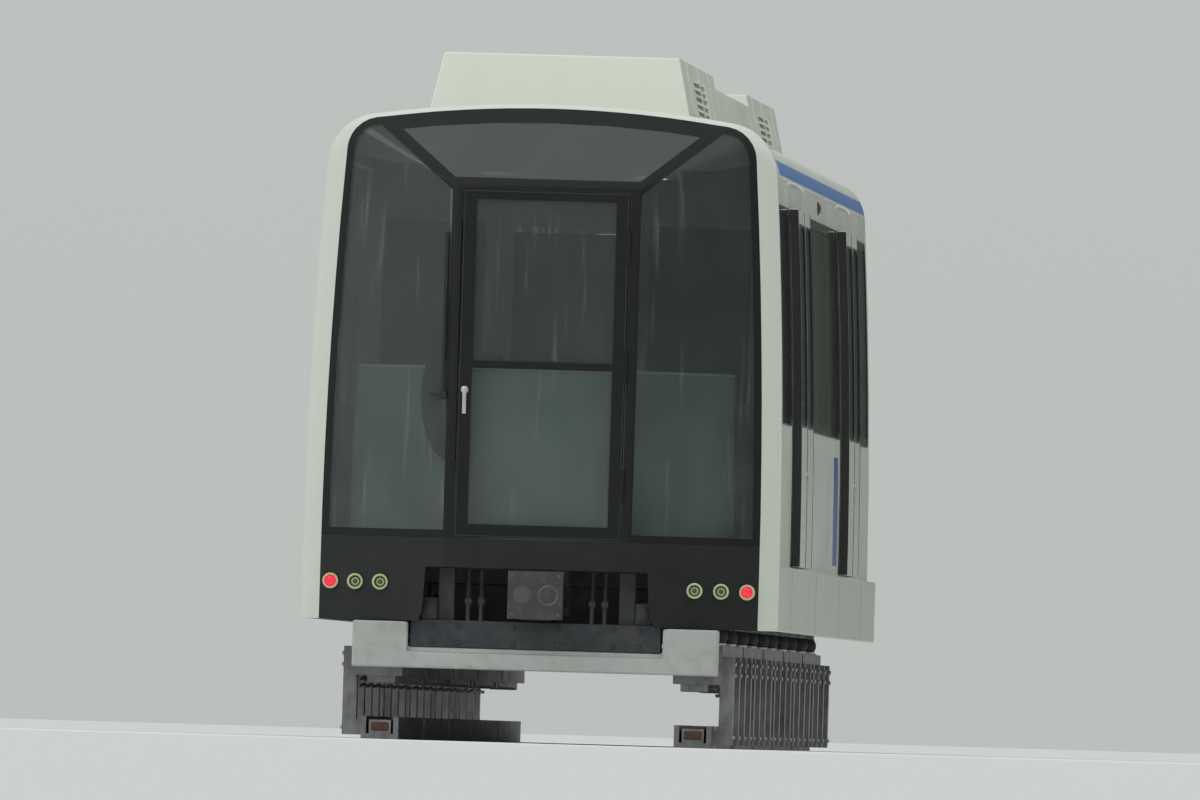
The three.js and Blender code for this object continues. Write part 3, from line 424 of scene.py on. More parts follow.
def tube(path, radius, around=12, side=(1.0, 0.0, 0.0)):
    """A circle carried along a path and square to it. Its axes come from the path's direction and a fixed side."""
    path = np.asarray(path, dtype=float)
    direction = np.gradient(path, axis=0)
    direction /= np.linalg.norm(direction, axis=1, keepdims=True)
    first = np.cross(direction, np.asarray(side))
    first /= np.linalg.norm(first, axis=1, keepdims=True)
    second = np.cross(direction, first)
    angle = np.linspace(0, 2 * np.pi, around, endpoint=False)[:, None]
    circle = np.cos(angle) * first[:, None] + np.sin(angle) * second[:, None]
    return path[:, None] + radius * circle


def bolt_heads(places, axis, out, radius=0.012, height=0.010):
    """Six-sided heads on flat washers, along an axis and standing out by the sign given."""
    washer = np.array([[-0.002, 1.35], [0.002, 1.35]]) * [1, radius]
    head = np.array([[0.001, 1.0], [height * 0.8, 1.0], [height, 0.82]]) * [1, radius]
    stacks = []
    for place in places:
        stacks.append(turned(washer * [out, 1], place, axis, 12))
        stacks.append(turned(head * [out, 1], place, axis, 6))
    return stacks


def cast_alloy(name, colour):
    """Weathered aluminium: dull grey metal, brown brake dust drawn out in upright streaks, oily stains with a soft
    edge.
    """
    metal = Finish(name, colour, 0.5, metallic=0.75)
    metal.lay(metal.carried(metal.noise(3.0), 0.4, 0.75, 0.0, 0.6), (0.10, 0.09, 0.08))
    metal.lay(metal.carried(metal.noise(26.0, (1, 1, 0.4), 6.0), 0.52, 0.8, 0.0, 0.7), (0.13, 0.095, 0.07))
    metal.rough(metal.carried(metal.noise(12.0), 0.3, 0.7, 0.38, 0.7))
    metal.bump(metal.noise(220.0), 0.3, 0.0005)
    return metal.material


module_alloy = cast_alloy("module_alloy", (0.28, 0.285, 0.29))
winding = Finish("coil_winding", (0.11, 0.045, 0.025), 0.45)
winding.bump(winding.noise(30.0, (1, 14, 1), 2.0), 0.5, 0.002)
spring_rubber = Finish("spring_rubber", (0.022, 0.022, 0.024), 0.75)
spring_rubber.lay(spring_rubber.carried(spring_rubber.noise(20.0), 0.5, 0.8, 0.0, 0.5), (0.09, 0.08, 0.07))
bright_steel = Finish("bright_steel", (0.42, 0.42, 0.43), 0.35, metallic=1.0)
bright_steel.rough(bright_steel.carried(bright_steel.noise(40.0), 0.3, 0.7, 0.25, 0.5))
skid_lining = Finish("skid_lining", (0.20, 0.17, 0.13), 0.8)
skid_lining.lay(skid_lining.carried(skid_lining.noise(60.0), 0.4, 0.7, 0.0, 0.6), (0.1, 0.085, 0.07))

for number, middle in enumerate(BOGIE_PLACES, start=1):
    body = f"bogie_{number}"
    coils, springs, rings_of_spring, bolts, pipes, calipers, pads = [], [], [], [], [], [], []
    for side_name, side in MODULE_SIDES.items():
        soften(f"module_{number}_{side_name}", body, module_alloy, 0.006)
        for place in COIL_PLACES:
            x0, x1 = sorted((side * COIL_X[0] - side * 0.002, side * COIL_X[1] + side * 0.002))
            y0, y1 = middle + place - COIL_HALF_LENGTH - 0.002, middle + place + COIL_HALF_LENGTH + 0.002
            coils.append(block((x0, y0, COIL_LOW), (x1, y1, COIL_TOP), 0.022, 4))
        for place in SPRING_PLACES:
            at = (side * SPRING_X, middle + place, 0)
            springs.append(turned(bellows_profile(SPRING_LOW, SPRING_TOP, SPRING_RADIUS + 0.012, 2, 0.03), at, "z", 48))
            for low, high in ((SPRING_LOW - 0.001, SPRING_LOW + 0.016), (SPRING_TOP - 0.018, SPRING_TOP)):
                rim = SPRING_RADIUS + 0.004
                rings_of_spring.append(turned([[low, rim - 0.004], [low + 0.003, rim], [high - 0.003, rim],
                                               [high, rim - 0.004]], at, "z", 48))
        heads = [(side * ARM_FACE, middle + place + across, height)
                 for place in ARM_PLACES for across in (-0.035, 0.035) for height in (0.06, 0.40, 0.46)]
        bolts += bolt_heads(heads, "x", side)
        heads = [(side * x, middle + y, BEAM_TOP) for y in (-1.15, -0.35, 0.0, 0.35, 1.15) for x in (0.765, 0.965)]
        bolts += bolt_heads(heads, "z", 1)
        run = np.linspace(-1.2, 1.2, 61)
        for drop in (0.0, 0.035):
            sag = 0.004 * np.cos(run * np.pi / 0.36)
            path = np.column_stack([np.full_like(run, side * 0.972), middle + run, 0.325 - drop + sag])
            pipes.append(tube(path, 0.009, 10))
        for end in (-1, 1):
            y = middle + end * 1.1
            x0, x1 = sorted((side * 0.745, side * 0.955))
            calipers.append(block((x0, y - 0.135, BEAM_TOP - 0.002), (x1, y - 0.02, BEAM_TOP + 0.075), 0.012, 3))
            calipers.append(block((x0 + 0.02, y + 0.0, BEAM_TOP - 0.002), (x1 - 0.02, y + 0.11, BEAM_TOP + 0.05), 0.01, 3))
            x0, x1 = sorted((side * 0.777, side * 0.923))
            pads.append(block((x0, y - 0.107, 0.304), (x1, y + 0.107, 0.316), 0.003, 1))
    fit(f"coil_windings_{number}", skin("coils", *coils), body, winding.material)
    fit(f"air_springs_{number}", skin("springs", *springs, angle=60), body, spring_rubber.material)
    fit(f"spring_rings_{number}", skin("spring_rings", *rings_of_spring), body, bright_steel.material)
    fit(f"module_bolts_{number}", skin("bolts", *bolts), body, bright_steel.material)
    fit(f"brake_pipes_{number}", skin("pipes", *pipes, angle=60), body, dark_steel)
    fit(f"brake_units_{number}", skin("calipers", *calipers), body, dark_steel)
    fit(f"skid_linings_{number}", skin("pads", *pads), body, skid_lining.material)

# Body sides: welded aluminium panels that lean in towards the roof, sprayed gloss white, with a plain blue square
# ahead of the rear doors. Their white is given a darker base than the roof's, as painted shade. Rain has drawn faint
# grey streaks down them, heavier towards the sill, where dust has settled and painted shade darkens them too.
HALF_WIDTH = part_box("side_wall_left")[1][0]
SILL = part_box("side_wall_left")[0][2]
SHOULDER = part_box("side_wall_left")[1][2]
LEAN = 0.075
WALL_FRONT, WALL_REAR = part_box("side_wall_left")[0][1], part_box("side_wall_left")[1][1]
SQUARE_Y = (1.74, 2.34)
SQUARE_Z = (1.06, 1.68)


def car_white(name, colour, grime_and_shade=0.35):
    """Gloss white two-pack paint under a clear coat. Long upright noise gives grey rain streaks, only on faces that
    stand
    upright and heavier towards the sill: partly dust and partly painted shade. A slow noise gives the dulled patches."""
    paint = Finish(name, colour, 0.30, coat=0.15)
    paint.shader.inputs["Coat Roughness"].default_value = 0.15
    paint.shader.inputs["Specular IOR Level"].default_value = 0.35
    # The grey streaks grow heavier towards the sill: partly real dust and partly painted shade on the lower sides.
    streaks = paint.carried(paint.noise(5.0, (1.0, 1.4, 0.05), 2.0), 0.5, 0.9, 0.0, grime_and_shade)
    low_dust_and_shade = paint.carried(paint.axis("Z"), 0.6, 1.7, 0.8, 0.2)
    upright = paint.carried(paint.facing("Z"), 0.15, 0.5, 1.0, 0.0)
    paint.lay(paint.times(paint.times(streaks, low_dust_and_shade), upright), (0.42, 0.41, 0.36))
    paint.rough(paint.carried(paint.noise(1.5, detail=1.0), 0.2, 0.8, 0.26, 0.36))
    return paint


def side_half(z):
    """Half width of the body at height z: the sill's, less a lean that grows with the square of the height."""
    return HALF_WIDTH - LEAN * np.clip((z - SILL) / (SHOULDER - SILL), 0, 1) ** 2


# The sides' white is darker than the roof's and the covers' white of the same paint: painted shade.
body_white = car_white("body_white", (0.56, 0.59, 0.52))
square = body_white.times(body_white.between("Y", *SQUARE_Y), body_white.between("Z", *SQUARE_Z))
body_white.lay(square, (0.055, 0.10, 0.33))
for side_name in MODULE_SIDES:
    soften(f"side_wall_{side_name}", "car_body", body_white.material, 0.004)

# Side glass: continuous bands of tinted double glazing bonded flush into the panels, with a black ceramic border
# that hides the bond and the pillars, and a rubber bead all round.
BANDS = {"cab": [-5.18], "middle": [-0.64, 0.92], "end": [5.445]}
BAND_LOW, BAND_TOP = 1.790, 2.980
BAND_CORNER = 0.060
BORDER = 0.045
PILLAR_HALF = 0.055
GLASS_THICK = 0.012


def side_pane(side, y0, y1, z0, z1, corner, outer, inner, shrinks=7):
    """A pane bent to the side: rounded rectangles that grow from the middle of the outer face to its edge, turn
    over the ground edge, and shrink to the middle of the inner face. Each point stands off the body by an offset."""
    loop = rounded_loop(y0, y1, z0, z1, corner, 5, 12)
    centre = np.array([(y0 + y1) / 2, (z0 + z1) / 2])
    grow = np.linspace(0.03, 1, shrinks)
    ground = 0.0015
    levels = [(s, outer) for s in grow[:-1]] + [(1 - ground, outer), (1, outer - ground), (1, inner + ground),
                                                (1 - ground, inner)] + [(s, inner) for s in grow[-2::-1]]
    rings = []
    for scale, offset in levels:
        y, z = (centre + (loop - centre) * scale).T
        rings.append(np.column_stack([side * (side_half(z) + offset), y, z]))
    return np.array(rings)


def side_bead(side, y0, y1, z0, z1, corner, offset, radius, around=8):
    """A rubber bead: a small circle carried round a rounded rectangle on the side of the car."""
    loop = rounded_loop(y0, y1, z0, z1, corner, 6, 12)
    centre = np.array([(y0 + y1) / 2, (z0 + z1) / 2])
    outward = loop - centre
    outward = np.sign(outward) * (np.abs(outward) > np.abs([y1 - y0, z1 - z0]) / 2 - corner - 1e-6)
    outward = outward / np.maximum(np.linalg.norm(outward, axis=1, keepdims=True), 1e-9)
    angle = np.linspace(0, 2 * np.pi, around, endpoint=False)
    rings = []
    for a in angle:
        y, z = (loop + outward * radius * np.cos(a)).T
        x = side * (side_half(z) + offset + radius * np.sin(a))
        rings.append(np.column_stack([x, y, z]))
    return np.array(rings)


def tinted_glass(name, alpha, panes):
    """Grey-green body-tinted glass. The black border and the bands over the pillars are printed on its inner face:
    there the glass is opaque."""
    glass = Finish(name, (0.018, 0.022, 0.020), 0.05, alpha=alpha)
    clear = None
    for y0, y1 in panes:
        window = glass.times(glass.between("Y", y0, y1), glass.between("Z", BAND_LOW + BORDER, BAND_TOP - BORDER))
        if clear is None:
            clear = window
        else:
            add = glass.nodes.new("ShaderNodeMath")
            add.operation = "MAXIMUM"
            glass.links.new(clear, add.inputs[0])
            glass.links.new(window, add.inputs[1])
            clear = add.outputs[0]
    glass.links.new(glass.carried(clear, 0.0, 1.0, 1.0, alpha), glass.shader.inputs["Alpha"])
    glass.rough(glass.carried(glass.noise(4.0), 0.3, 0.7, 0.04, 0.09))
    return glass


black_rubber = Finish("black_rubber", (0.018, 0.018, 0.019), 0.6)
black_rubber.rough(black_rubber.carried(black_rubber.noise(30.0), 0.3, 0.7, 0.5, 0.75))
for band, pillars in BANDS.items():
    low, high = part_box(f"window_{band}_left")
    y0, y1 = low[1], high[1]
    edges = [y0 + BORDER] + [p + s * PILLAR_HALF for p in pillars for s in (-1, 1)] + [y1 - BORDER]
    glass = tinted_glass(f"side_glass_{band}", 0.66, list(zip(edges[::2], edges[1::2])))
    for side_name, side in MODULE_SIDES.items():
        pane = side_pane(side, y0, y1, BAND_LOW, BAND_TOP, BAND_CORNER, 0.0005, -GLASS_THICK)
        node = f"window_{band}_{side_name}"
        fit(f"{node}_glazed", skin(node, pane, angle=50), "car_body", glass.material, [node])
        bead = side_bead(side, y0 - 0.001, y1 + 0.001, BAND_LOW - 0.001, BAND_TOP + 0.001, BAND_CORNER, 0.0, 0.0045)
        mesh = skin(f"bead_{node}", bead, wrap=True, angle=60)
        fit(f"bead_{node}", mesh, "car_body", black_rubber.material)

# Roof: an aluminium shell with a crowned middle and rounded shoulders, in the sides' white but on a lighter base, as
# painted light on the top, and dulled by soot, with a masked blue stripe along each cantrail and a drip rail above the
# doors. Its inside has pale lining panels.
SHOULDER_RADIUS = 0.240
CROWN = 3.425
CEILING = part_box("roof_shell")[0][2]
ARC_END = math.radians(81)
STRIPE_Z = (3.150, 3.232)
STRIPE_START = -4.96


def half_outline(offset, low, crown_offset=None, side_steps=9, arc_steps=14, crown_steps=8):
    """Half of the body's outline, moved outwards by offset: up the leaning side, round the shoulder's arc, and over
    the crown, which falls off with the square of the distance from the middle. Where the crown has an offset of its
    own, the arc slides up the side to meet it."""
    lift = 0.0 if crown_offset is None else crown_offset - offset
    side_z = np.linspace(low, SHOULDER, side_steps)[:-1]
    lean_angle = math.atan(2 * LEAN / (SHOULDER - SILL))
    angle = np.linspace(lean_angle, ARC_END, arc_steps)
    arc_x = side_half(SHOULDER) - SHOULDER_RADIUS * math.cos(lean_angle)
    arc_z = SHOULDER - SHOULDER_RADIUS * math.sin(lean_angle)
    radius = SHOULDER_RADIUS + offset
    arc = np.column_stack([
        arc_x - lift * math.tan(lean_angle) + radius * np.cos(angle),
        arc_z + lift + radius * np.sin(angle),
    ])
    end_x, end_z = arc[-1]
    crown_x = np.linspace(end_x, 0, crown_steps + 1)[1:]
    top = CROWN + offset + lift
    crown = np.column_stack([crown_x, top - (top - end_z) * (crown_x / end_x) ** 2])
    side = np.column_stack([side_half(side_z) + offset, side_z])
    return np.concatenate([side, arc, crown])


def whole_outline(offset, low, crown_offset=None):
    """The outline from the foot of the left side over the roof to the foot of the right side."""
    half = half_outline(offset, low, crown_offset)
    return np.concatenate([half, half[-2::-1] * [-1, 1]])


def along_car(outline, places):
    """An outline in x and z, repeated at each place along the car."""
    return np.array([np.column_stack([outline[:, 0], np.full(len(outline), y), outline[:, 1]]) for y in places])


# The roof's white is lighter than the sides' white of the same paint: painted light on the top.
roof_white = car_white("roof_white", (0.69, 0.72, 0.64), 0.5)
soot = roof_white.carried(roof_white.noise(1.8, (1, 0.3, 1), 2.0), 0.35, 0.80, 0.0, 0.30)
roof_white.lay(soot, (0.48, 0.48, 0.44))
stripe = roof_white.times(roof_white.between("Z", *STRIPE_Z), roof_white.between("Y", STRIPE_START, 7.5))
roof_white.lay(stripe, (0.10, 0.24, 0.55))
over = whole_outline(0.0, SHOULDER)
inner_half = side_half(SHOULDER) - 0.09
under = np.array([[-inner_half, SHOULDER], [-inner_half, SHOULDER + 0.04], [-0.86, CEILING],
                  [0.86, CEILING], [inner_half, SHOULDER + 0.04], [inner_half, SHOULDER]])
under[:, 1] = np.maximum(under[:, 1], SHOULDER)
roof_places = np.linspace(WALL_FRONT, WALL_REAR, 15)
roof_outline = np.concatenate([over, under])
roof_mesh = skin("roof_skin", along_car(roof_outline, roof_places))
face = np.arange(len(roof_mesh.polygons))
outline_faces = (len(roof_places) - 1) * len(roof_outline)
lined = (face < outline_faces) & (face % len(roof_outline) >= len(over) - 1)
roof_mesh.polygons.foreach_set("material_index", lined.astype(np.int32))
fit("roof_shell_skin", roof_mesh, "car_body", roof_white.material, ["roof_shell"])
ceiling_white = Finish("ceiling_white", (0.64, 0.64, 0.60), 0.55)
ceiling_white.rough(ceiling_white.carried(ceiling_white.noise(3.0), 0.3, 0.7, 0.5, 0.65))
roof_mesh.materials.append(ceiling_white.material)

drips = []
for side in (-1, 1):
    for y in (-3.135, 3.415):
        path_y = np.linspace(y - 0.95, y + 0.95, 33)
        z = 3.135 - 0.02 * ((path_y - y) / 0.95) ** 4
        drips.append(tube(np.column_stack([side * (side_half(z) + 0.006), path_y, z]), 0.008, 8))
fit("drip_rails", skin("drip_rails", *drips, angle=60), "car_body", roof_white.material)

# Air conditioners: two covers pressed from sheet, their panels joined under cover strips and bolted along the foot.
# Each has two fans under domed wire guards on top and a bay of slats in each flank. A lower fairing over the ducts
# joins them.
COVER_HALF = 0.710
COVER_SLOPE = 0.2154
STRIP_HALF, STRIP_PROUD = 0.020, 0.003
STRIP_SPACING = 1.30
FOOT_BOLT_PITCH = 0.30
FAN_FROM_MIDDLE = 0.65
FAN_RADIUS = 0.28
GUARD_WIRE, GUARD_RISE = 0.003, 0.006
GUARD_RINGS, GUARD_SPOKES = 9, 8
GRILLE_LOW, GRILLE_PITCH, GRILLE_ROWS = 3.465, 0.040, 5
GRILLE_HALF_LENGTH = 0.745
GRILLE_DEPTH = 0.054


def cover_half(z):
    """Half width of a roof cover at height z: its flanks draw in evenly from the roof's crown."""
    return COVER_HALF - COVER_SLOPE * (z - CROWN)


def cover_strip(y, foot, top):
    """A flat strip laid over the cover from foot to foot: the cover's own outline, moved out and in a little."""
    rings = []
    for proud in (STRIP_PROUD, -STRIP_PROUD):
        corners = np.array([[-cover_half(foot) - proud, foot], [-cover_half(top) - proud, top + proud],
                            [cover_half(top) + proud, top + proud], [cover_half(foot) + proud, foot]])
        rings.append(corners if proud > 0 else corners[::-1])
    return along_car(np.concatenate(rings), (y - STRIP_HALF, y + STRIP_HALF))


def guard_height(radius):
    """A shallow dome: the rise falls off with the square of the distance from the middle."""
    return GUARD_RISE * (1 - (radius / FAN_RADIUS) ** 2)


def guard_rings(y, z):
    """Wire rings about the fan's middle: a small circle carried round a large one, each at the dome's height."""
    turn = np.linspace(0, 2 * np.pi, 48, endpoint=False)
    small = np.linspace(0, 2 * np.pi, 6, endpoint=False)[None, :, None]
    radial = np.column_stack([np.cos(turn), np.sin(turn), np.zeros_like(turn)])[:, None]
    wire = GUARD_WIRE * (np.cos(small) * radial + np.sin(small) * np.array([0.0, 0.0, 1.0]))
    radii = np.linspace(0.05, FAN_RADIUS, GUARD_RINGS)
    return [np.array([0.0, y, z + guard_height(radius)]) + radius * radial + wire for radius in radii]


def guard_spokes(y, z):
    """Straight spokes over the rings, from near the middle to the rim."""
    reach = np.linspace(0.04, FAN_RADIUS + 0.01, 9)
    height = z + guard_height(reach) + 2 * GUARD_WIRE
    spokes = []
    for angle in np.linspace(0, 2 * np.pi, GUARD_SPOKES, endpoint=False):
        path = np.column_stack([reach * np.cos(angle), y + reach * np.sin(angle), height])
        spokes.append(tube(path, GUARD_WIRE, 6, (0.0, 0.0, 1.0)))
    return spokes


# The covers' white is the lightest base of the same paint: painted light on the top of the car.
cover_white_lit = car_white("cover_white_lit", (0.75, 0.78, 0.69), 0.4)
slat_grey = Finish("slat_grey", (0.52, 0.53, 0.49), 0.5)
slat_grey.lay(slat_grey.carried(slat_grey.noise(7.0), 0.45, 0.8, 0.0, 0.5), (0.36, 0.35, 0.31))
fan_dark = Finish("fan_dark", (0.025, 0.025, 0.026), 0.7)
fan_dark.lay(fan_dark.carried(fan_dark.noise(9.0), 0.45, 0.8, 0.0, 0.4), (0.07, 0.066, 0.06))
for unit in ("aircon_front", "aircon_rear"):
    soften(unit, "car_body", cover_white_lit.material, 0.022, 4)
    low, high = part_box(unit)
    middle, top = (low[1] + high[1]) / 2, high[2]
    strips = [cover_strip(middle + step * STRIP_SPACING, CROWN + 0.015, top) for step in (-1, 0, 1)]
    fit(f"{unit}_strips", skin("strips", *strips), "car_body", cover_white_lit.material)
    foot = CROWN + 0.030
    foot_y = np.arange(low[1] + 0.18, high[1] - 0.12, FOOT_BOLT_PITCH)
    foot_bolts = []
    for side in (-1, 1):
        heads = [(side * cover_half(foot), y, foot) for y in foot_y]
        foot_bolts += bolt_heads(heads, "x", side, 0.008, 0.005)
    fit(f"{unit}_bolts", skin("bolts", *foot_bolts), "car_body", bright_steel.material)
    collars, wells, hubs, guards, spokes = [], [], [], [], []
    for y in (middle - FAN_FROM_MIDDLE, middle + FAN_FROM_MIDDLE):
        at = (0, y, top)
        collars.append(turned([[-0.003, FAN_RADIUS + 0.045], [0.004, FAN_RADIUS + 0.040], [0.011, FAN_RADIUS + 0.024],
                               [0.013, FAN_RADIUS + 0.014], [0.010, FAN_RADIUS + 0.004],
                               [0.0015, FAN_RADIUS + 0.002]], at, "z", 64))
        wells.append(turned([[0.001, FAN_RADIUS + 0.0015], [0.0030, FAN_RADIUS]], at, "z", 64))
        hubs.append(turned([[0.002, 0.085], [0.006, 0.080], [0.008, 0.066], [0.008, 0.010]], at, "z", 32))
        guards += guard_rings(y, top + 0.006)
        spokes += guard_spokes(y, top + 0.006)
    fit(f"{unit}_collars", skin("collars", *collars, angle=50), "car_body", cover_white_lit.material)
    fit(f"{unit}_wells", skin("wells", *wells), "car_body", fan_dark.material)
    fit(f"{unit}_hubs", skin("hubs", *hubs), "car_body", slat_grey.material)
    fit(f"{unit}_guards", skin("guards", *guards, wrap=True, angle=60), "car_body", slat_grey.material)
    fit(f"{unit}_spokes", skin("spokes", *spokes, angle=60), "car_body", slat_grey.material)
    slats, backs = [], []
    ends = (middle - GRILLE_HALF_LENGTH, middle + GRILLE_HALF_LENGTH)
    for side in (-1, 1):
        for row in range(GRILLE_ROWS):
            z = GRILLE_LOW + (row + 0.5) * GRILLE_PITCH
            outer, inner = cover_half(z) - 0.004, cover_half(z) - GRILLE_DEPTH + 0.006
            sheet = np.array([[inner, z + 0.0080], [outer, z - 0.0055], [outer, z - 0.0080], [inner, z + 0.0055]])
            slats.append(along_car(sheet * [side, 1], ends))
            x0, x1 = sorted((side * (inner - 0.004), side * (inner - 0.002)))
            backs.append(block((x0, ends[0], z - 0.0115), (x1, ends[1], z + 0.0115), 0.0005, 1))
    fit(f"{unit}_slats", skin("slats", *slats), "car_body", slat_grey.material)
    fit(f"{unit}_filters", skin("filters", *backs), "car_body", fan_dark.material)
soften("roof_fairing", "car_body", cover_white_lit.material, 0.02, 4)

# Door leaves: bonded aluminium panels that slide outside the body on a tongue in the skirt's groove. Each has a
# flush pane in a black bead, a thick black rubber along its edges, and a flush pull let in beside the seam.
LEAF_LOW, LEAF_TOP = 1.012, 2.985
LEAF_INNER, LEAF_OUTER = 0.006, 0.050
LEAF_PANE = (1.790, 2.900)
PANE_MARGIN = 0.085
EDGE_RUBBER = 0.016
PULL_FROM_SEAM = 0.110
PULL_HALF = 0.022
PULL_Z = (1.40, 1.54)
PULL_CORNER = 0.018


def framed_leaf(side, y0, y1, z0, z1, hole, corner, steps=6):
    """A panel with a window: on its outer face rounded rectangles shrink in equal steps from the panel's outline to
    the window's, pass through the thickness, and grow back on the inner face to the start."""
    outer_loop = rounded_loop(y0, y1, z0, z1, 0.018, 5, 12)
    inner_loop = rounded_loop(*hole, corner, 5, 12)
    blend = np.linspace(0, 1, steps)
    roll = 0.004
    levels = [(0.0, LEAF_OUTER - roll)] + [(max(t, 0.004), LEAF_OUTER) for t in blend[:-1]]
    levels += [(0.996, LEAF_OUTER), (1.0, LEAF_OUTER - roll), (1.0, LEAF_INNER)]
    levels += [(t, LEAF_INNER) for t in blend[-2::-1]]
    rings = []
    for t, offset in levels:
        y, z = (outer_loop * (1 - t) + inner_loop * t).T
        rings.append(np.column_stack([side * (side_half(z) + offset), y, z]))
    return np.array(rings)


# The leaves' white is darker than the roof's white of the same paint: painted shade on the sides.
leaf_white_shaded = car_white("leaf_white_shaded", (0.54, 0.57, 0.50), 0.35)
leaf_glass = Finish("leaf_glass", (0.018, 0.022, 0.020), 0.05, alpha=0.66)
leaf_glass.rough(leaf_glass.carried(leaf_glass.noise(4.0), 0.3, 0.7, 0.04, 0.09))
handle_steel = Finish("handle_steel", (0.55, 0.55, 0.55), 0.28, metallic=1.0)
handle_steel.rough(handle_steel.carried(handle_steel.noise(60.0), 0.3, 0.7, 0.22, 0.36))
for place, middle in (("front", -3.135), ("rear", 3.415)):
    for side_name, side in MODULE_SIDES.items():
        for half, inward in (("fore", 1), ("aft", -1)):
            node = f"leaf_{place}_{side_name}_{half}"
            low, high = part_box(node)
            y0, y1 = low[1], high[1]
            seam = y1 if half == "fore" else y0
            hole = (y0 + PANE_MARGIN, y1 - PANE_MARGIN, *LEAF_PANE)
            panel = framed_leaf(side, y0 + 0.001, y1 - 0.001, LEAF_LOW, LEAF_TOP, hole, 0.06)
            mesh = skin(f"{node}_panel", panel, wrap=True, angle=40)
            fit(f"{node}_panel", mesh, node, leaf_white_shaded.material, [node])
            pane = side_pane(side, hole[0] + 0.001, hole[1] - 0.001, hole[2] + 0.001, hole[3] - 0.001, 0.059,
                             LEAF_OUTER - 0.003, LEAF_OUTER - 0.014)
            fit(f"{node}_pane", skin(f"{node}_pane", pane, angle=50), node, leaf_glass.material)
            bead = side_bead(side, *hole, 0.06, LEAF_OUTER - 0.001, 0.007)
            fit(f"{node}_bead", skin(f"{node}_bead", bead, wrap=True, angle=60), node, black_rubber.material)
            strips = []
            for edge, turn_in in ((y0, 1), (y1, -1)):
                z = np.linspace(LEAF_LOW + 0.004, LEAF_TOP - 0.004, 24)
                wide = EDGE_RUBBER if edge == seam else EDGE_RUBBER * 1.6
                a, b = sorted((edge, edge + turn_in * wide))
                profile = np.array([[LEAF_INNER, a], [LEAF_OUTER + 0.0015, a], [LEAF_OUTER + 0.0015, b],
                                    [LEAF_INNER, b]])
                rings = [np.column_stack([side * (side_half(h) + profile[:, 0]), profile[:, 1],
                                          np.full(4, h)]) for h in z]
                strips.append(np.array(rings))
            fit(f"{node}_edges", skin(f"{node}_edges", *strips), node, black_rubber.material)
            pull_y = seam - inward * PULL_FROM_SEAM
            pull = (pull_y - PULL_HALF, pull_y + PULL_HALF, *PULL_Z)
            cup = side_pane(side, *pull, PULL_CORNER, LEAF_OUTER + 0.0006, LEAF_OUTER - 0.004)
            fit(f"{node}_pull", skin(f"{node}_pull", cup, angle=50), node, black_rubber.material)
            bezel = side_bead(side, *pull, PULL_CORNER, LEAF_OUTER + 0.0005, 0.0035)
            fit(f"{node}_pull_rim", skin(f"{node}_pull_rim", bezel, wrap=True, angle=60), node,
                handle_steel.material)

# Skirts: long pressed panels hung from the sill, with a grooved ledge that guides the door leaves, a bright worn
# sill strip under each doorway, and joints between the panel lengths.
SKIRT_JOINTS = [-4.80, -1.60, 1.60, 4.80]
STRIPS = [(-3.95, -2.32), (2.60, 4.23)]

# The skirts' white is darker than the roof's white of the same paint: painted shade low on the sides.
skirt_white = car_white("skirt_white", (0.54, 0.56, 0.49), 0.5)
sill_alloy = Finish("sill_alloy", (0.72, 0.72, 0.70), 0.32, metallic=0.9)
sill_alloy.lay(sill_alloy.carried(sill_alloy.noise(8.0), 0.45, 0.8, 0.0, 0.4), (0.46, 0.45, 0.42))
sill_alloy.rough(sill_alloy.carried(sill_alloy.noise(25.0), 0.3, 0.7, 0.26, 0.46))
joint_dark = Finish("joint_dark", (0.05, 0.05, 0.05), 0.8)
joint_dark.rough(joint_dark.carried(joint_dark.noise(30.0), 0.3, 0.7, 0.7, 0.9))
for side_name, side in MODULE_SIDES.items():
    node = f"skirt_{side_name}"
    soften(node, "car_body", skirt_white.material, 0.008, 3)
    low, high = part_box(node)
    outer = max(abs(low[0]), abs(high[0]))
    x0, x1 = sorted((side * (outer - 0.030), side * (outer + 0.0006)))
    joints = [block((x0, y - 0.0025, low[2] + 0.010), (x1, y + 0.0025, high[2] - 0.018), 0.0005, 1)
              for y in SKIRT_JOINTS]
    fit(f"{node}_joints", skin("joints", *joints), "car_body", joint_dark.material)
    x0, x1 = sorted((side * (outer - 0.012), side * (outer + 0.001)))
    strips = [block((x0, y0, high[2] - 0.016), (x1, y1, high[2] + 0.0015), 0.001, 1) for y0, y1 in STRIPS]
    fit(f"{node}_strips", skin("strips", *strips), "car_body", sill_alloy.material)

# Rear end: a flat wall with the gangway doorway, and rubber bellows of three deep folds clamped round it. Beside
# them are a steel grip each side for the shunter and a capped socket for the train's leads.
REAR_GRIP_X, REAR_SOCKET_X = 0.700, 0.850
FOLDS = 3
FOLD_STEPS = 12
FOLD_DEPTH = 0.045
CLOTH = 0.033
BELLOWS_CORNER = 0.090

# The rear wall's white is darker than the roof's white of the same paint: painted shade.
rear_white_shaded = car_white("rear_white_shaded", (0.56, 0.59, 0.52), 0.4)
bellows_rubber = Finish("bellows_rubber", (0.03, 0.031, 0.033), 0.7)
bellows_rubber.lay(bellows_rubber.carried(bellows_rubber.noise(6.0), 0.45, 0.8, 0.0, 0.5), (0.075, 0.072, 0.066))
bellows_rubber.bump(bellows_rubber.noise(90.0), 0.3, 0.001)
soften("rear_end_wall", "car_body", rear_white_shaded.material, 0.012, 3)


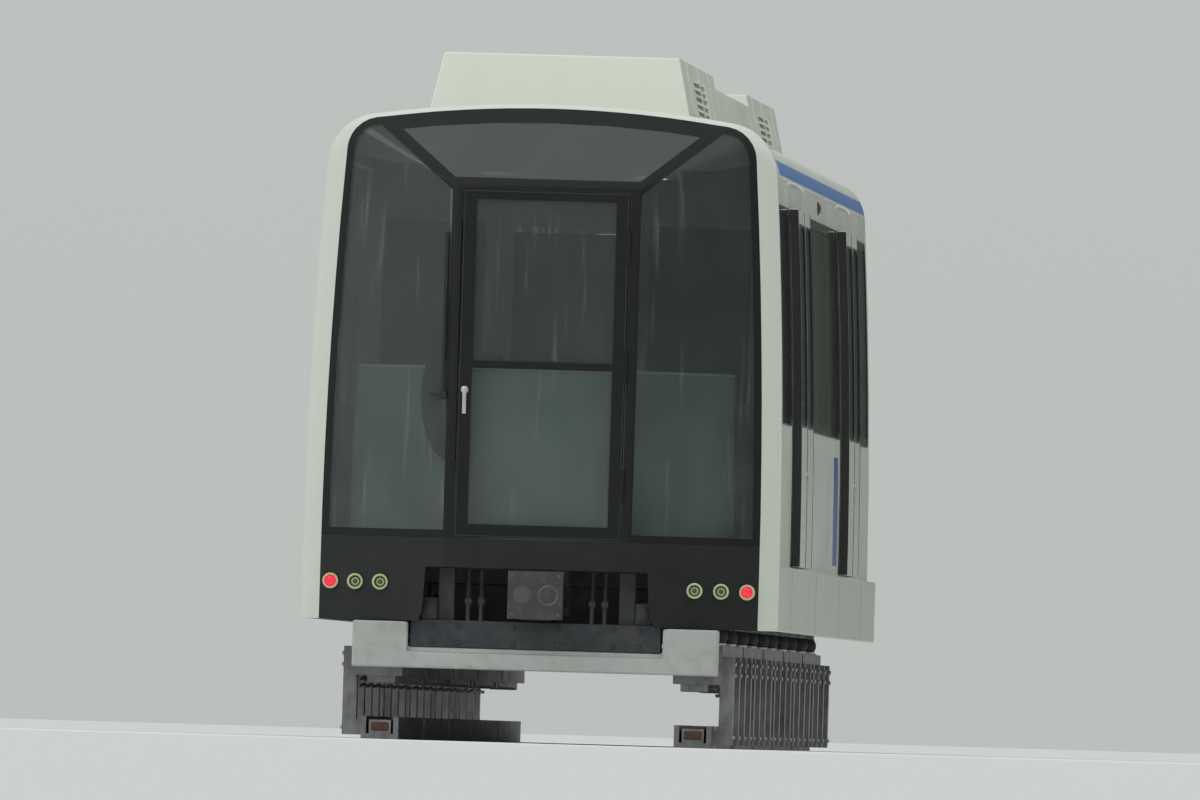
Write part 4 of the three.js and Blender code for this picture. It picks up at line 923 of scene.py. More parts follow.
def folded_sleeve(low, high):
    """A sleeve through rounded rectangles. Along the car the outer ones draw in by the absolute cosine of the fold's
    phase, and the inner ones run back a cloth's thickness inside them."""
    y = np.linspace(low[1], high[1], FOLDS * FOLD_STEPS + 1)
    phase = (y - low[1]) / (high[1] - low[1]) * FOLDS * np.pi
    dip = FOLD_DEPTH * np.abs(np.cos(phase)) ** 0.7
    rings = []
    for inset, place in [*zip(dip, y), *zip(dip[::-1] * 0.2 + FOLD_DEPTH + CLOTH, y[::-1])]:
        loop = rounded_loop(low[0] + inset, high[0] - inset, low[2] + inset, high[2] - inset, BELLOWS_CORNER, 5)
        rings.append(np.column_stack([loop[:, 0], np.full(len(loop), place), loop[:, 1]]))
    return np.array(rings)


mesh = skin("bellows", folded_sleeve(*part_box("gangway_bellows")), wrap=True, angle=50)
fit("gangway_bellows_folded", mesh, "car_body", bellows_rubber.material, ["gangway_bellows"])
rear_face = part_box("rear_end_wall")[1][1]
grips, sockets = [], []
for side in (-1, 1):
    rise = np.linspace(0, 1, 41)
    stand = rear_face - 0.004 + 0.055 * np.clip(np.sin(np.pi * rise) * 5, 0, 1)
    path = np.column_stack([np.full_like(rise, side * REAR_GRIP_X), stand, 1.30 + 0.55 * rise])
    grips.append(tube(path, 0.012, 12))
    sockets.append(block((side * REAR_SOCKET_X - 0.070, rear_face - 0.003, 1.020),
                         (side * REAR_SOCKET_X + 0.070, rear_face + 0.050, 1.160), 0.012, 3))
    sockets.append(turned([[rear_face + 0.048, 0.046], [rear_face + 0.062, 0.046], [rear_face + 0.068, 0.038]],
                          (side * REAR_SOCKET_X, 0, 1.090), "y", 28))
fit("rear_grips", skin("grips", *grips, angle=50), "car_body", bright_steel.material)
fit("rear_sockets", skin("sockets", *sockets, angle=50), "car_body", dark_steel)

# Cab rim: a glass-fibre moulding round the nose, laid up in one piece, its front edge rolled in to the glass. It is
# wide at the sides and only a lip over the roof. Its white is given a lighter base than the sides', as painted light,
# with grey streaks heavier towards its foot, partly painted shade.
RIM_PROUD, RIM_CROWN_PROUD = 0.050, 0.040
RIM_GLASS, RIM_CROWN_GLASS = -0.0545, 0.0155
RIM_FRONT = -6.520
RIM_ROLL = 0.004
RIM_STEPS = 8

# The rim's white is lighter than the sides' white of the same paint: painted light.
rim_white = car_white("rim_white", (0.62, 0.65, 0.58), 0.35)
rim_low, rim_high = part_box("cab_rim")


def rim_hoop(name, levels):
    """A hoop open at its feet: the body's outline at each level in turn, the last joined to the first. A level is an
    offset at the sides, an offset at the crown and a place along the car."""
    rings = []
    for side_offset, crown_offset, y in levels:
        outline = whole_outline(side_offset, rim_low[2], crown_offset)
        rings.append(np.column_stack([outline[:, 0], np.full(len(outline), y), outline[:, 1]]))
    return skin(name, np.array(rings).transpose(1, 0, 2))


rolled = np.linspace(0, 1, RIM_STEPS)
side_roll = RIM_PROUD + (RIM_GLASS - RIM_PROUD) * rolled ** 1.5
crown_roll = RIM_CROWN_PROUD + (RIM_CROWN_GLASS - RIM_CROWN_PROUD) * rolled ** 1.5
place_roll = RIM_FRONT + (rim_low[1] - RIM_FRONT) * rolled ** 0.8
rim_levels = [
    (RIM_PROUD - RIM_ROLL, RIM_CROWN_PROUD - RIM_ROLL, rim_high[1]),
    (RIM_PROUD, RIM_CROWN_PROUD, rim_high[1] - RIM_ROLL),
    *zip(side_roll, crown_roll, place_roll),
    (RIM_GLASS, RIM_CROWN_GLASS, rim_low[1] + RIM_ROLL),
    (RIM_GLASS, RIM_CROWN_GLASS, rim_high[1]),
]
fit("cab_rim_moulding", rim_hoop("rim", rim_levels), "car_body", rim_white.material, ["cab_rim"])
seal_levels = [
    (RIM_ROLL, RIM_ROLL, rim_high[1] - 0.001),
    (RIM_PROUD - 2 * RIM_ROLL, RIM_CROWN_PROUD - 2 * RIM_ROLL, rim_high[1] - 0.001),
    (RIM_PROUD - 2 * RIM_ROLL, RIM_CROWN_PROUD - 2 * RIM_ROLL, rim_high[1] + 0.010),
    (RIM_ROLL, RIM_ROLL, rim_high[1] + 0.010),
]
fit("cab_rim_seal", rim_hoop("rim_seal", seal_levels), "car_body", black_rubber.material)

# Nose: a dull black frame that holds three flat panes, bonded at their edges. The upper pane lies back and takes the
# light of the sky, and the side panes are tinted grey-green.
nose_black = Finish("nose_black", (0.012, 0.0125, 0.0125), 0.5)
nose_black.shader.inputs["Specular IOR Level"].default_value = 0.2
nose_black.rough(nose_black.carried(nose_black.noise(5.0), 0.3, 0.7, 0.42, 0.6))
soften("nose_frame", "car_body", nose_black.material, 0.003)


def nose_glazing(name, colour, alpha, rain=0.35):
    """Tinted laminated glass with a faint film of road dust, thicker towards the foot, and dried rain drawn down it."""
    glass = Finish(name, colour, 0.04, alpha=alpha)
    runs = glass.carried(glass.noise(24.0, (1, 1, 0.07), 2.0), 0.62, 0.80, 0.0, rain)
    glass.lay(runs, (0.45, 0.50, 0.46))
    film = glass.times(glass.carried(glass.noise(3.0), 0.35, 0.8), glass.carried(glass.axis("Z"), 1.0, 2.2, 0.5, 0.1))
    glass.lay(film, (0.20, 0.21, 0.19))
    glass.rough(glass.carried(film, 0.0, 0.5, 0.03, 0.12))
    return glass.material


def reglaze(node, material):
    """The solid of a flat pane stays, and its slot takes the glass."""
    nodes[node].data.materials.clear()
    nodes[node].data.materials.append(material)


side_nose_glass = nose_glazing("side_nose_glass", (0.050, 0.064, 0.058), 0.48)
top_nose_glass = nose_glazing("top_nose_glass", (0.050, 0.064, 0.059), 0.88, rain=0.0)
reglaze("nose_pane_left", side_nose_glass)
reglaze("nose_pane_right", side_nose_glass)
reglaze("nose_pane_top", top_nose_glass)

# Front door: the emergency way out, a black frame with two lights of glass and a bar between them, hung on three
# pairs of barrels. A rubber seal lies round its edge, and a flat lever shuts it.
DOOR_HALF, DOOR_LOW, DOOR_TOP = 0.450, 1.106, 2.984
DOOR_FACE = -6.988
SEAL_WIDTH = 0.006
LEVER_X, LEVER_Z = -0.415, 1.900
LEVER_LENGTH = 0.130

soften("front_door", "front_door", nose_black.material, 0.003)
reglaze("front_door_glass", nose_glazing("door_glass", (0.062, 0.077, 0.069), 0.42))


def flat_frame(x0, x1, z0, z1, width, y0, y1, corner):
    """A flat frame: rounded rectangles at the front and back faces, outer and inner, joined in turn."""
    rings = []
    for inset, y in ((0, y1), (0, y0), (width, y0), (width, y1)):
        loop = rounded_loop(x0 + inset, x1 - inset, z0 + inset, z1 - inset, max(corner - inset, 0.002), 4)
        rings.append(np.column_stack([loop[:, 0], np.full(len(loop), y), loop[:, 1]]))
    return np.array(rings)


seal = flat_frame(-DOOR_HALF + 0.004, DOOR_HALF - 0.004, DOOR_LOW + 0.004, DOOR_TOP - 0.004, SEAL_WIDTH,
                  DOOR_FACE - 0.003, DOOR_FACE + 0.004, 0.012)
fit("front_door_seal", skin("seal", seal, wrap=True), "front_door", black_rubber.material)
boss = turned([[0.002, 0.020], [-0.004, 0.020], [-0.006, 0.017]], (LEVER_X, DOOR_FACE, LEVER_Z), "y", 24)
lever = block((LEVER_X - 0.011, DOOR_FACE - 0.011, LEVER_Z - LEVER_LENGTH),
              (LEVER_X + 0.011, DOOR_FACE - 0.004, LEVER_Z + 0.014), 0.003)
fit("front_door_lever", skin("lever", boss, lever), "front_door", handle_steel.material)

# Apron: the dark moulding below the glass, sprayed dull graphite, with the coupler pocket cut in it.
graphite = Finish("graphite", (0.016, 0.018, 0.018), 0.45)
graphite.shader.inputs["Specular IOR Level"].default_value = 0.25
graphite.lay(graphite.carried(graphite.noise(5.0), 0.45, 0.8, 0.0, 0.35), (0.035, 0.036, 0.034))
graphite.rough(graphite.carried(graphite.noise(11.0), 0.3, 0.7, 0.38, 0.55))
graphite.bump(graphite.noise(180.0), 0.2, 0.0004)
soften("apron", "car_body", graphite.material, 0.008, 3)

# Wiper: a black arm and blade parked upright on the right-hand pane, its motor in a rounded black housing inside.
wiper_black = Finish("wiper_black", (0.012, 0.012, 0.013), 0.55)
wiper_black.rough(wiper_black.carried(wiper_black.noise(30.0), 0.3, 0.7, 0.45, 0.65))
soften("wiper", "car_body", wiper_black.material, 0.002)
soften("wiper_housing", "car_body", nose_black.material, 0.02, 4)

# Lamps: three a side in pressed bezels. The outer one is the red tail lamp, lit, and the two inner ones are
# headlamps: a pale ring round a dark reflector with the bulb in its middle.
LAMP_Z = 0.850
LAMPS = [
    # distance from the middle, red or not
    (1.130, True),
    (0.992, False),
    (0.852, False),
]
LAMP_PROUD = 0.032
NOSE_FACE, NOSE_BASE = -6.988, -6.600
NOSE_HALF, BASE_HALF = 0.500, 1.190
BEZEL = [
    # depth behind the lamp's face, radius
    [0.140, 0.040],
    [0.002, 0.043],
    [0.000, 0.041],
    [0.000, 0.034],
    [0.004, 0.031],
    [0.020, 0.030],
]
BOWL = [[0.030, 0.031], [0.012, 0.031], [0.020, 0.022], [0.024, 0.012], [0.012, 0.011], [0.008, 0.007], [0.007, 0.002]]
LENS = [[0.014, 0.031], [0.008, 0.031], [0.003, 0.024], [0.0005, 0.012], [0.000, 0.002]]

lamp_white = Finish("lamp_ring", (0.50, 0.56, 0.28), 0.35)
lamp_white.rough(lamp_white.carried(lamp_white.noise(50.0), 0.3, 0.7, 0.28, 0.42))
lamp_dark = Finish("lamp_reflector", (0.10, 0.11, 0.09), 0.15, metallic=0.6)
lamp_dark.rough(lamp_dark.carried(lamp_dark.noise(60.0), 0.3, 0.7, 0.12, 0.22))
lamp_red = Finish("lamp_red", (0.50, 0.008, 0.02), 0.25)
lamp_red.shader.inputs["Emission Strength"].default_value = 1.1
lamp_glow = lamp_red.nodes.new("ShaderNodeMix")
lamp_glow.data_type = "RGBA"
lamp_glow.inputs["A"].default_value = (0.68, 0.002, 0.022, 1)
lamp_glow.inputs["B"].default_value = (1.0, 0.026, 0.070, 1)
lamp_red.links.new(lamp_red.carried(lamp_red.facing("Y"), -0.86, -1.0, 0.0, 1.0), lamp_glow.inputs["Factor"])
lamp_red.links.new(lamp_glow.outputs["Result"], lamp_red.shader.inputs["Emission Color"])
lamp_red.bump(lamp_red.noise(400.0, (1, 0.1, 1), 0.0), 0.2, 0.0006)
for side_name, side in MODULE_SIDES.items():
    bezels, bowls, lenses = [], [], []
    for x, red in LAMPS:
        face = NOSE_FACE + (NOSE_BASE - NOSE_FACE) * (x - NOSE_HALF) / (BASE_HALF - NOSE_HALF)
        front = np.array([face - LAMP_PROUD, 0])
        at = (side * x, 0, LAMP_Z)
        bezels.append(turned(BEZEL + front, at, "y", 40))
        if red:
            lenses.append(turned(LENS + front, at, "y", 40))
        else:
            bowls.append(turned(BOWL + front, at, "y", 40))
    node = f"lamps_{side_name}"
    fit(f"{node}_bezels", skin(node, *bezels, angle=50), "car_body", lamp_white.material, [node])
    fit(f"{node}_reflectors", skin(node, *bowls, angle=60), "car_body", lamp_dark.material)
    fit(f"{node}_red", skin(node, *lenses, angle=60), "car_body", lamp_red.material)

# Coupler pocket: two upright struts and a low bar of dark blue-grey steel, with the grey deflector beam hung under
# them. Air pipes with their cocks and the sockets of the jumper leads are bolted to the bar.
BAR_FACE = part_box("coupler_struts")[0][1]
BAR_TOP = 0.655
POCKET_FITTINGS = [0.30, 0.37]
SOCKET_X = 0.580
PIPE_RADIUS = 0.013

pocket_steel = chassis_paint("pocket_steel", (0.029, 0.032, 0.038), (0.075, 0.070, 0.064))
deflector_grey = chassis_paint("deflector_grey", (0.46, 0.47, 0.45), (0.30, 0.28, 0.25))
soften("coupler_struts", "car_body", pocket_steel, 0.006)
soften("deflector", "car_body", deflector_grey, 0.012, 3)
pipes, cocks, sockets = [], [], []
for side in (-1, 1):
    for x in POCKET_FITTINGS:
        drop = np.linspace(0, 1, 25)
        y = BAR_FACE + 0.075 - 0.060 * np.cos(drop * np.pi / 2) ** 2
        z = 0.930 - (0.930 - BAR_TOP + 0.002) * drop
        pipes.append(tube(np.column_stack([np.full_like(drop, side * x), y[::-1], z]), PIPE_RADIUS, 12))
        at = (side * x, 0, 0.760)
        cocks.append(turned([[BAR_FACE + 0.02, 0.019], [BAR_FACE + 0.09, 0.019]], at, "y", 16))
        cocks.append(turned([[0.732, 0.020], [0.790, 0.020]], (side * x, BAR_FACE + 0.06, 0), "z", 16))
    x0, x1 = sorted((side * (SOCKET_X - 0.045), side * (SOCKET_X + 0.045)))
    sockets.append(block((x0, BAR_FACE + 0.01, BAR_TOP - 0.002), (x1, BAR_FACE + 0.11, BAR_TOP + 0.12), 0.010, 3))
    sockets.append(turned([[BAR_FACE + 0.012, 0.036], [BAR_FACE - 0.004, 0.036], [BAR_FACE - 0.008, 0.030]],
                          (side * SOCKET_X, 0, BAR_TOP + 0.06), "y", 24))
fit("pocket_pipes", skin("pipes", *pipes, angle=60), "car_body", pocket_steel)
fit("pocket_cocks", skin("cocks", *cocks, angle=50), "car_body", pocket_steel)
fit("pocket_sockets", skin("sockets", *sockets, angle=50), "car_body", pocket_steel)
heads = [(side * x, BAR_FACE, z) for side in (-1, 1) for x in (0.12, 0.42, 0.56) for z in (0.535, 0.625)]
fit("pocket_bolts", skin("bolts", *bolt_heads(heads, "y", -1)), "car_body", pocket_steel)

# Couplers: forged heads with a flat plate. A cone and a funnel beside it guide the next coupler in, and the covered
# box below carries the train's wires. The rear drawbar is plain, with bolts round its plate.
COUPLER_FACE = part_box("front_coupler")[0][1]
DRAWBAR_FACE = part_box("rear_drawbar")[1][1]
COUPLER_Z = 0.800

coupler_iron = chassis_paint("coupler_iron", (0.040, 0.042, 0.046), (0.12, 0.10, 0.085))
soften("front_coupler", "front_coupler", coupler_iron, 0.006)
soften("rear_drawbar", "rear_drawbar", coupler_iron, 0.006)
cone = turned([[0.001, 0.050], [-0.004, 0.050], [-0.0045, 0.046]], (-0.070, COUPLER_FACE + 0.003, COUPLER_Z), "y", 32)
funnel = turned([[0.001, 0.058], [-0.004, 0.058], [-0.006, 0.052], [0.0, 0.036], [0.0005, 0.004]],
                (0.070, COUPLER_FACE + 0.003, COUPLER_Z), "y", 32)
worn_iron = cast_alloy("worn_iron", (0.12, 0.12, 0.12))
fit("coupler_guides", skin("guides", cone, funnel), "front_coupler", worn_iron)
wire_box = block((-0.085, COUPLER_FACE + 0.020, COUPLER_Z - 0.135), (0.085, COUPLER_FACE + 0.20, COUPLER_Z - 0.085), 0.008)
fit("coupler_wire_box", skin("wire_box", wire_box), "front_coupler", pocket_steel)
CORNERS = [(x, z) for x in (-0.125, 0.125) for z in (-0.105, 0.105)]
heads = [(x, COUPLER_FACE + 0.004, COUPLER_Z + z) for x, z in CORNERS]
fit("coupler_bolts", skin("bolts", *bolt_heads(heads, "y", -1, 0.011, 0.006)), "front_coupler",
    worn_iron)
heads = [(x, DRAWBAR_FACE - 0.004, COUPLER_Z + z) for x, z in CORNERS]
fit("drawbar_bolts", skin("bolts", *bolt_heads(heads, "y", 1, 0.011, 0.006)), "rear_drawbar",
    worn_iron)

# Cab: a teal glass-fibre console with a pale edge runs across the nose. Two dark screens, a lever and a row of plain
# buttons are let into the desk ahead of the driver's seat.
CONSOLE_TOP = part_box("cab_console")[1][2]
PALE_EDGE = 0.014
DESK_X = -0.42
DESK_Y = -6.27
SCREEN_HALF = 0.130
BUTTON_PITCH = 0.045

console_teal = Finish("console_teal", (0.38, 0.55, 0.50), 0.6)
console_teal.lay(console_teal.carried(console_teal.noise(4.0), 0.4, 0.8, 0.0, 0.25), (0.28, 0.41, 0.37))
console_teal.lay(console_teal.between("Z", CONSOLE_TOP - PALE_EDGE, CONSOLE_TOP + 1.0), (0.70, 0.76, 0.72))
soften("cab_console", "car_body", console_teal.material, 0.012, 3)
screen_glass = Finish("screen_glass", (0.008, 0.009, 0.010), 0.08)
screen_glass.rough(screen_glass.carried(screen_glass.noise(20.0), 0.3, 0.7, 0.06, 0.14))
switch_black = Finish("switch_black", (0.02, 0.02, 0.022), 0.45)
switch_black.rough(switch_black.carried(switch_black.noise(40.0), 0.3, 0.7, 0.38, 0.55))
screens, switches = [], []
for offset in (-0.17, 0.17):
    x = DESK_X + offset
    screens.append(block((x - SCREEN_HALF, DESK_Y - 0.10, CONSOLE_TOP - 0.004),
                         (x + SCREEN_HALF, DESK_Y + 0.06, CONSOLE_TOP + 0.004), 0.003))
    switches.append(block((x - SCREEN_HALF - 0.012, DESK_Y - 0.112, CONSOLE_TOP - 0.004),
                          (x + SCREEN_HALF + 0.012, DESK_Y + 0.072, CONSOLE_TOP + 0.002), 0.004))
for step in range(8):
    at = (DESK_X - 0.16 + step * BUTTON_PITCH, DESK_Y + 0.105, 0)
    switches.append(turned([[CONSOLE_TOP - 0.002, 0.012], [CONSOLE_TOP + 0.008, 0.012], [CONSOLE_TOP + 0.010, 0.009]],
                           at, "z", 16))
switches.append(turned([[CONSOLE_TOP - 0.002, 0.030], [CONSOLE_TOP + 0.012, 0.026], [CONSOLE_TOP + 0.015, 0.009],
                        [CONSOLE_TOP + 0.085, 0.008], [CONSOLE_TOP + 0.090, 0.020], [CONSOLE_TOP + 0.115, 0.022],
                        [CONSOLE_TOP + 0.122, 0.010]], (DESK_X + 0.36, DESK_Y + 0.02, 0), "z", 24))
fit("desk_screens", skin("screens", *screens), "car_body", screen_glass.material)
fit("desk_switches", skin("switches", *switches, angle=50), "car_body", switch_black.material)

# Bulkhead: a light grey wall between the cab and the saloon, with a tinted light each side of a passage that a
# glazed sliding door shuts.
BULKHEAD_Y = (-4.640, -4.600)
LIGHT_X, LIGHT_Z = (0.450, 1.010), (1.900, 2.850)
PASSAGE_HALF, PASSAGE_TOP = 0.360, 2.900
FLOOR_TOP = 1.040

lining_grey = Finish("lining_grey", (0.62, 0.62, 0.57), 0.6)
lining_grey.rough(lining_grey.carried(lining_grey.noise(6.0), 0.3, 0.7, 0.5, 0.7))
soften("cab_bulkhead", "car_body", lining_grey.material, 0.004)
bulkhead_glass = Finish("bulkhead_glass", (0.010, 0.012, 0.012), 0.06, alpha=0.92)
bulkhead_glass.rough(bulkhead_glass.carried(bulkhead_glass.noise(3.0), 0.3, 0.7, 0.04, 0.1))
middle_y = sum(BULKHEAD_Y) / 2
panes = [
    block((min(side * LIGHT_X[0], side * LIGHT_X[1]) - 0.001, middle_y - 0.004, LIGHT_Z[0] - 0.001),
          (max(side * LIGHT_X[0], side * LIGHT_X[1]) + 0.001, middle_y + 0.004, LIGHT_Z[1] + 0.001), 0.002, 1)
    for side in (-1, 1)
]
panes.append(block((-PASSAGE_HALF + 0.060, middle_y - 0.004, FLOOR_TOP + 0.120),
                   (PASSAGE_HALF - 0.060, middle_y + 0.004, PASSAGE_TOP - 0.100), 0.002, 1))
fit("bulkhead_panes", skin("panes", *panes), "car_body", bulkhead_glass.material)
door = flat_frame(-PASSAGE_HALF + 0.001, PASSAGE_HALF - 0.001, FLOOR_TOP + 0.004, PASSAGE_TOP - 0.001, 0.066,
                  middle_y - 0.016, middle_y + 0.016, 0.006)
fit("bulkhead_door_frame", skin("door", door, wrap=True), "car_body", lining_grey.material)

# Driver's seat: a sprung cushion and a tall back in blue wool over foam, on a turned steel post with a floor
# flange.
SEAT_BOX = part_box("cab_seat")
SEAT_X = (SEAT_BOX[0][0], SEAT_BOX[1][0])
SEAT_Y = (-6.130, -5.670)
SEAT_TOP, SEAT_THICK = 1.480, 0.090
BACK_THICK = 0.080

seat_blue = Finish("seat_fabric", (0.045, 0.10, 0.20), 0.85)
seat_blue.lay(seat_blue.carried(seat_blue.noise(5.0), 0.4, 0.8, 0.0, 0.4), (0.035, 0.075, 0.15))
seat_blue.bump(seat_blue.noise(900.0, (1, 1, 1), 2.0), 0.45, 0.0008)
piping_dark = Finish("piping_dark", (0.02, 0.035, 0.06), 0.7)
piping_dark.lay(piping_dark.carried(piping_dark.noise(60.0), 0.4, 0.8, 0.0, 0.5), (0.045, 0.06, 0.09))


def cushion(a, b, low, high, places, crown, bulge, order, steps=14):
    """A sprung pad with sewn channels between its places. Its section is a rounded rectangle, from a[0] to a[1] and
    low to high. Its top rises by a crown, and one side stands out by a bulge, the higher one where that is positive.
    Both fall off with the square of the distance from the middle. Along b they swell as a root of the sine over each
    place, and the section draws in at both ends by a quarter circle. Order names the axes of the section's two
    directions and of the length."""
    corner = min(high - low, a[1] - a[0]) * 0.32
    loop = rounded_loop(a[0], a[1], low, high, corner, 5, 10)
    middle = np.array([(a[0] + a[1]) / 2, (low + high) / 2])
    half = np.array([(a[1] - a[0]) / 2, (high - low) / 2])
    along = np.linspace(0, places, places * steps + 1)
    swell = np.abs(np.sin(along * np.pi)) ** 0.45
    from_end = np.minimum(along, places - along) / places * (b[1] - b[0])
    drawn = corner * (1 - np.sqrt(1 - (1 - np.clip(from_end / corner, 0, 1)) ** 2))
    across = (loop - middle) / half
    lift = crown * (1 - across[:, 0] ** 2) * np.clip(across[:, 1], 0, 1)
    push = bulge * (1 - across[:, 1] ** 2) * np.clip(np.sign(bulge) * across[:, 0], 0, 1)
    grid = loop - across * drawn[:, None, None]
    first = grid[..., 0] + push * swell[:, None]
    height = grid[..., 1] + lift * swell[:, None]
    length = np.broadcast_to((b[0] + (b[1] - b[0]) * along / places)[:, None], first.shape)
    axes = {order[0]: first, order[1]: height, order[2]: length}
    return np.stack([axes["x"], axes["y"], axes["z"]], axis=-1)


def upholster(name, body, replaced, *pads):
    """A padded piece: the pads as one mesh in the blue wool."""
    piece = fit(name, skin(name, *pads, angle=75), body, seat_blue.material, replaced)
    return piece


seat_middle = (SEAT_X[0] + SEAT_X[1]) / 2
seat_pads = [
    cushion(SEAT_Y, SEAT_X, SEAT_TOP - SEAT_THICK + 0.02, SEAT_TOP - 0.006, 1, 0.018, 0.004, "yzx"),
    cushion((SEAT_Y[1] - BACK_THICK, SEAT_Y[1]), (SEAT_X[0] + 0.02, SEAT_X[1] - 0.02), SEAT_TOP + 0.03,
            SEAT_BOX[1][2] - 0.17, 1, 0.006, -0.022, "yzx"),
    cushion((SEAT_Y[1] - BACK_THICK + 0.01, SEAT_Y[1] - 0.005), (SEAT_X[0] + 0.10, SEAT_X[1] - 0.10),
            SEAT_BOX[1][2] - 0.15, SEAT_BOX[1][2] - 0.01, 1, 0.004, -0.016, "yzx"),
]
upholster("cab_seat_pads", "car_body", ["cab_seat"], *seat_pads)
seat_post = turned([[FLOOR_TOP + 0.001, 0.150], [FLOOR_TOP + 0.012, 0.150], [FLOOR_TOP + 0.020, 0.070],
                    [FLOOR_TOP + 0.200, 0.066], [FLOOR_TOP + 0.210, 0.045], [SEAT_TOP - SEAT_THICK, 0.045]],
                   (seat_middle, -5.9, 0), "z", 32)
seat_pan = block((SEAT_X[0] + 0.02, SEAT_Y[0] + 0.02, SEAT_TOP - SEAT_THICK),
                 (SEAT_X[1] - 0.02, SEAT_Y[1] - 0.02, SEAT_TOP - SEAT_THICK + 0.024), 0.008)
back_plate = block((SEAT_X[0] + 0.09, SEAT_Y[1] - 0.012, SEAT_TOP - 0.06),
                   (SEAT_X[1] - 0.09, SEAT_Y[1] + 0.004, SEAT_BOX[1][2] - 0.02), 0.004)
fit("cab_seat_frame", skin("seat_frame", seat_post, seat_pan, back_plate), "car_body", switch_black.material)

# Benches: long wall seats on a pale plinth with a recessed toe. Each has one sprung cushion and one back in blue
# wool, sewn into places, with a piped front edge.
PLACE_PITCH = 0.51
BENCH_SEAT, BENCH_PLINTH = 1.480, 1.360
BENCH_DEPTH, BENCH_TOE = 0.480, 0.080
BENCH_BACK_THICK = 0.090

plinth_pale = Finish("plinth_pale", (0.60, 0.60, 0.56), 0.5)
plinth_pale.rough(plinth_pale.carried(plinth_pale.noise(5.0), 0.3, 0.7, 0.4, 0.6))
for band in ("middle", "end"):
    for side_name, side in MODULE_SIDES.items():
        node = f"bench_{band}_{side_name}"
        low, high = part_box(node)
        wall = side * max(abs(low[0]), abs(high[0]))
        y = (low[1], high[1])
        places = round((y[1] - y[0]) / PLACE_PITCH)
        inner = wall - side * BENCH_DEPTH
        seat_across = tuple(sorted((inner, wall - side * BENCH_BACK_THICK)))
        back_across = tuple(sorted((wall - side * 0.002, wall - side * BENCH_BACK_THICK)))
        pads = [
            cushion(seat_across, y, BENCH_PLINTH, BENCH_SEAT - 0.014, places, 0.026, -side * 0.008, "xzy"),
            cushion(back_across, y, BENCH_SEAT + 0.005, high[2] - 0.004, places, 0.004, -side * 0.026, "xzy"),
        ]
        upholster(f"{node}_cushions", "car_body", [node], *pads)
        x0, x1 = sorted((inner + side * BENCH_TOE, wall))
        toe = block((x0, y[0] + 0.004, low[2]), (x1, y[1] - 0.004, BENCH_PLINTH - 0.03), 0.006)
        x0, x1 = sorted((inner + side * 0.004, wall))
        shelf = block((x0, y[0] + 0.002, BENCH_PLINTH - 0.034), (x1, y[1] - 0.002, BENCH_PLINTH + 0.002), 0.008)
        fit(f"{node}_plinth", skin("plinth", toe, shelf), "car_body", plinth_pale.material)
        run = np.linspace(y[0] + 0.02, y[1] - 0.02, 96)
        swell = np.abs(np.sin((run - y[0]) / (y[1] - y[0]) * places * np.pi)) ** 0.45
        path = np.column_stack([inner + side * (0.030 - 0.006 * swell), run, BENCH_SEAT - 0.013 + 0.003 * swell])
        fit(f"{node}_piping", skin("piping", tube(path, 0.004, 8, (0.0, 0.0, 1.0)), angle=60), "car_body",
            piping_dark.material)

# Saloon floor: speckled vinyl sheet on the floor plates, with a ribbed metal strip inside each doorway.
VINYL_THICK = 0.003
VINYL = [
    # half width, from, to along the car
    (1.140, -4.590, -2.190),
    (0.735, -2.190, 2.470),
    (1.140, 2.470, 4.370),
    (0.735, 4.370, 6.740),
]
TREAD_X = (1.020, 1.135)
TREAD_RIBS = 7

vinyl_grey = Finish("vinyl_grey", (0.20, 0.21, 0.21), 0.55)
vinyl_grey.lay(vinyl_grey.carried(vinyl_grey.noise(140.0, detail=1.0), 0.56, 0.62), (0.36, 0.36, 0.34))
vinyl_grey.lay(vinyl_grey.carried(vinyl_grey.noise(2.0), 0.45, 0.8, 0.0, 0.4), (0.13, 0.13, 0.12))
sheets = [block((-half, y0, FLOOR_TOP), (half, y1, FLOOR_TOP + VINYL_THICK), 0.001, 1) for half, y0, y1 in VINYL]
fit("saloon_floor", skin("vinyl", *sheets), "car_body", vinyl_grey.material)
treads = []
for side in (-1, 1):
    for middle in (-3.135, 3.415):
        for x in np.linspace(*TREAD_X, TREAD_RIBS):
            x0, x1 = sorted((side * (x - 0.005), side * (x + 0.005)))
            treads.append(block((x0, middle - 0.72, FLOOR_TOP + VINYL_THICK - 0.001),
                                (x1, middle + 0.72, FLOOR_TOP + VINYL_THICK + 0.003), 0.001, 1))
fit("doorway_treads", skin("treads", *treads), "car_body", sill_alloy.material)

# Ceiling: two rows of milky lamp covers, lit, with an air slot between them.
LAMP_ROWS = [-0.42, 0.42]
COVER_LENGTH, COVER_GAP = 1.20, 0.06

milky = Finish("milky_cover", (0.74, 0.75, 0.73), 0.3)
milky.rough(milky.carried(milky.noise(4.0), 0.3, 0.7, 0.26, 0.38))
milky.shader.inputs["Emission Color"].default_value = (1.0, 0.98, 0.93, 1)
milky.shader.inputs["Emission Strength"].default_value = 1.6
covers, slots_of_air = [], []
for y in np.arange(-4.40, 6.40 - COVER_LENGTH, COVER_LENGTH + COVER_GAP):
    for x in LAMP_ROWS:
        covers.append(block((x - 0.07, y, CEILING - 0.022), (x + 0.07, y + COVER_LENGTH, CEILING + 0.001), 0.010, 3))
    slots_of_air.append(block((-0.05, y, CEILING - 0.004), (0.05, y + COVER_LENGTH, CEILING + 0.001), 0.002, 1))
fit("ceiling_lamps", skin("covers", *covers), "car_body", milky.material)
fit("ceiling_slots", skin("slots", *slots_of_air), "car_body", switch_black.material)

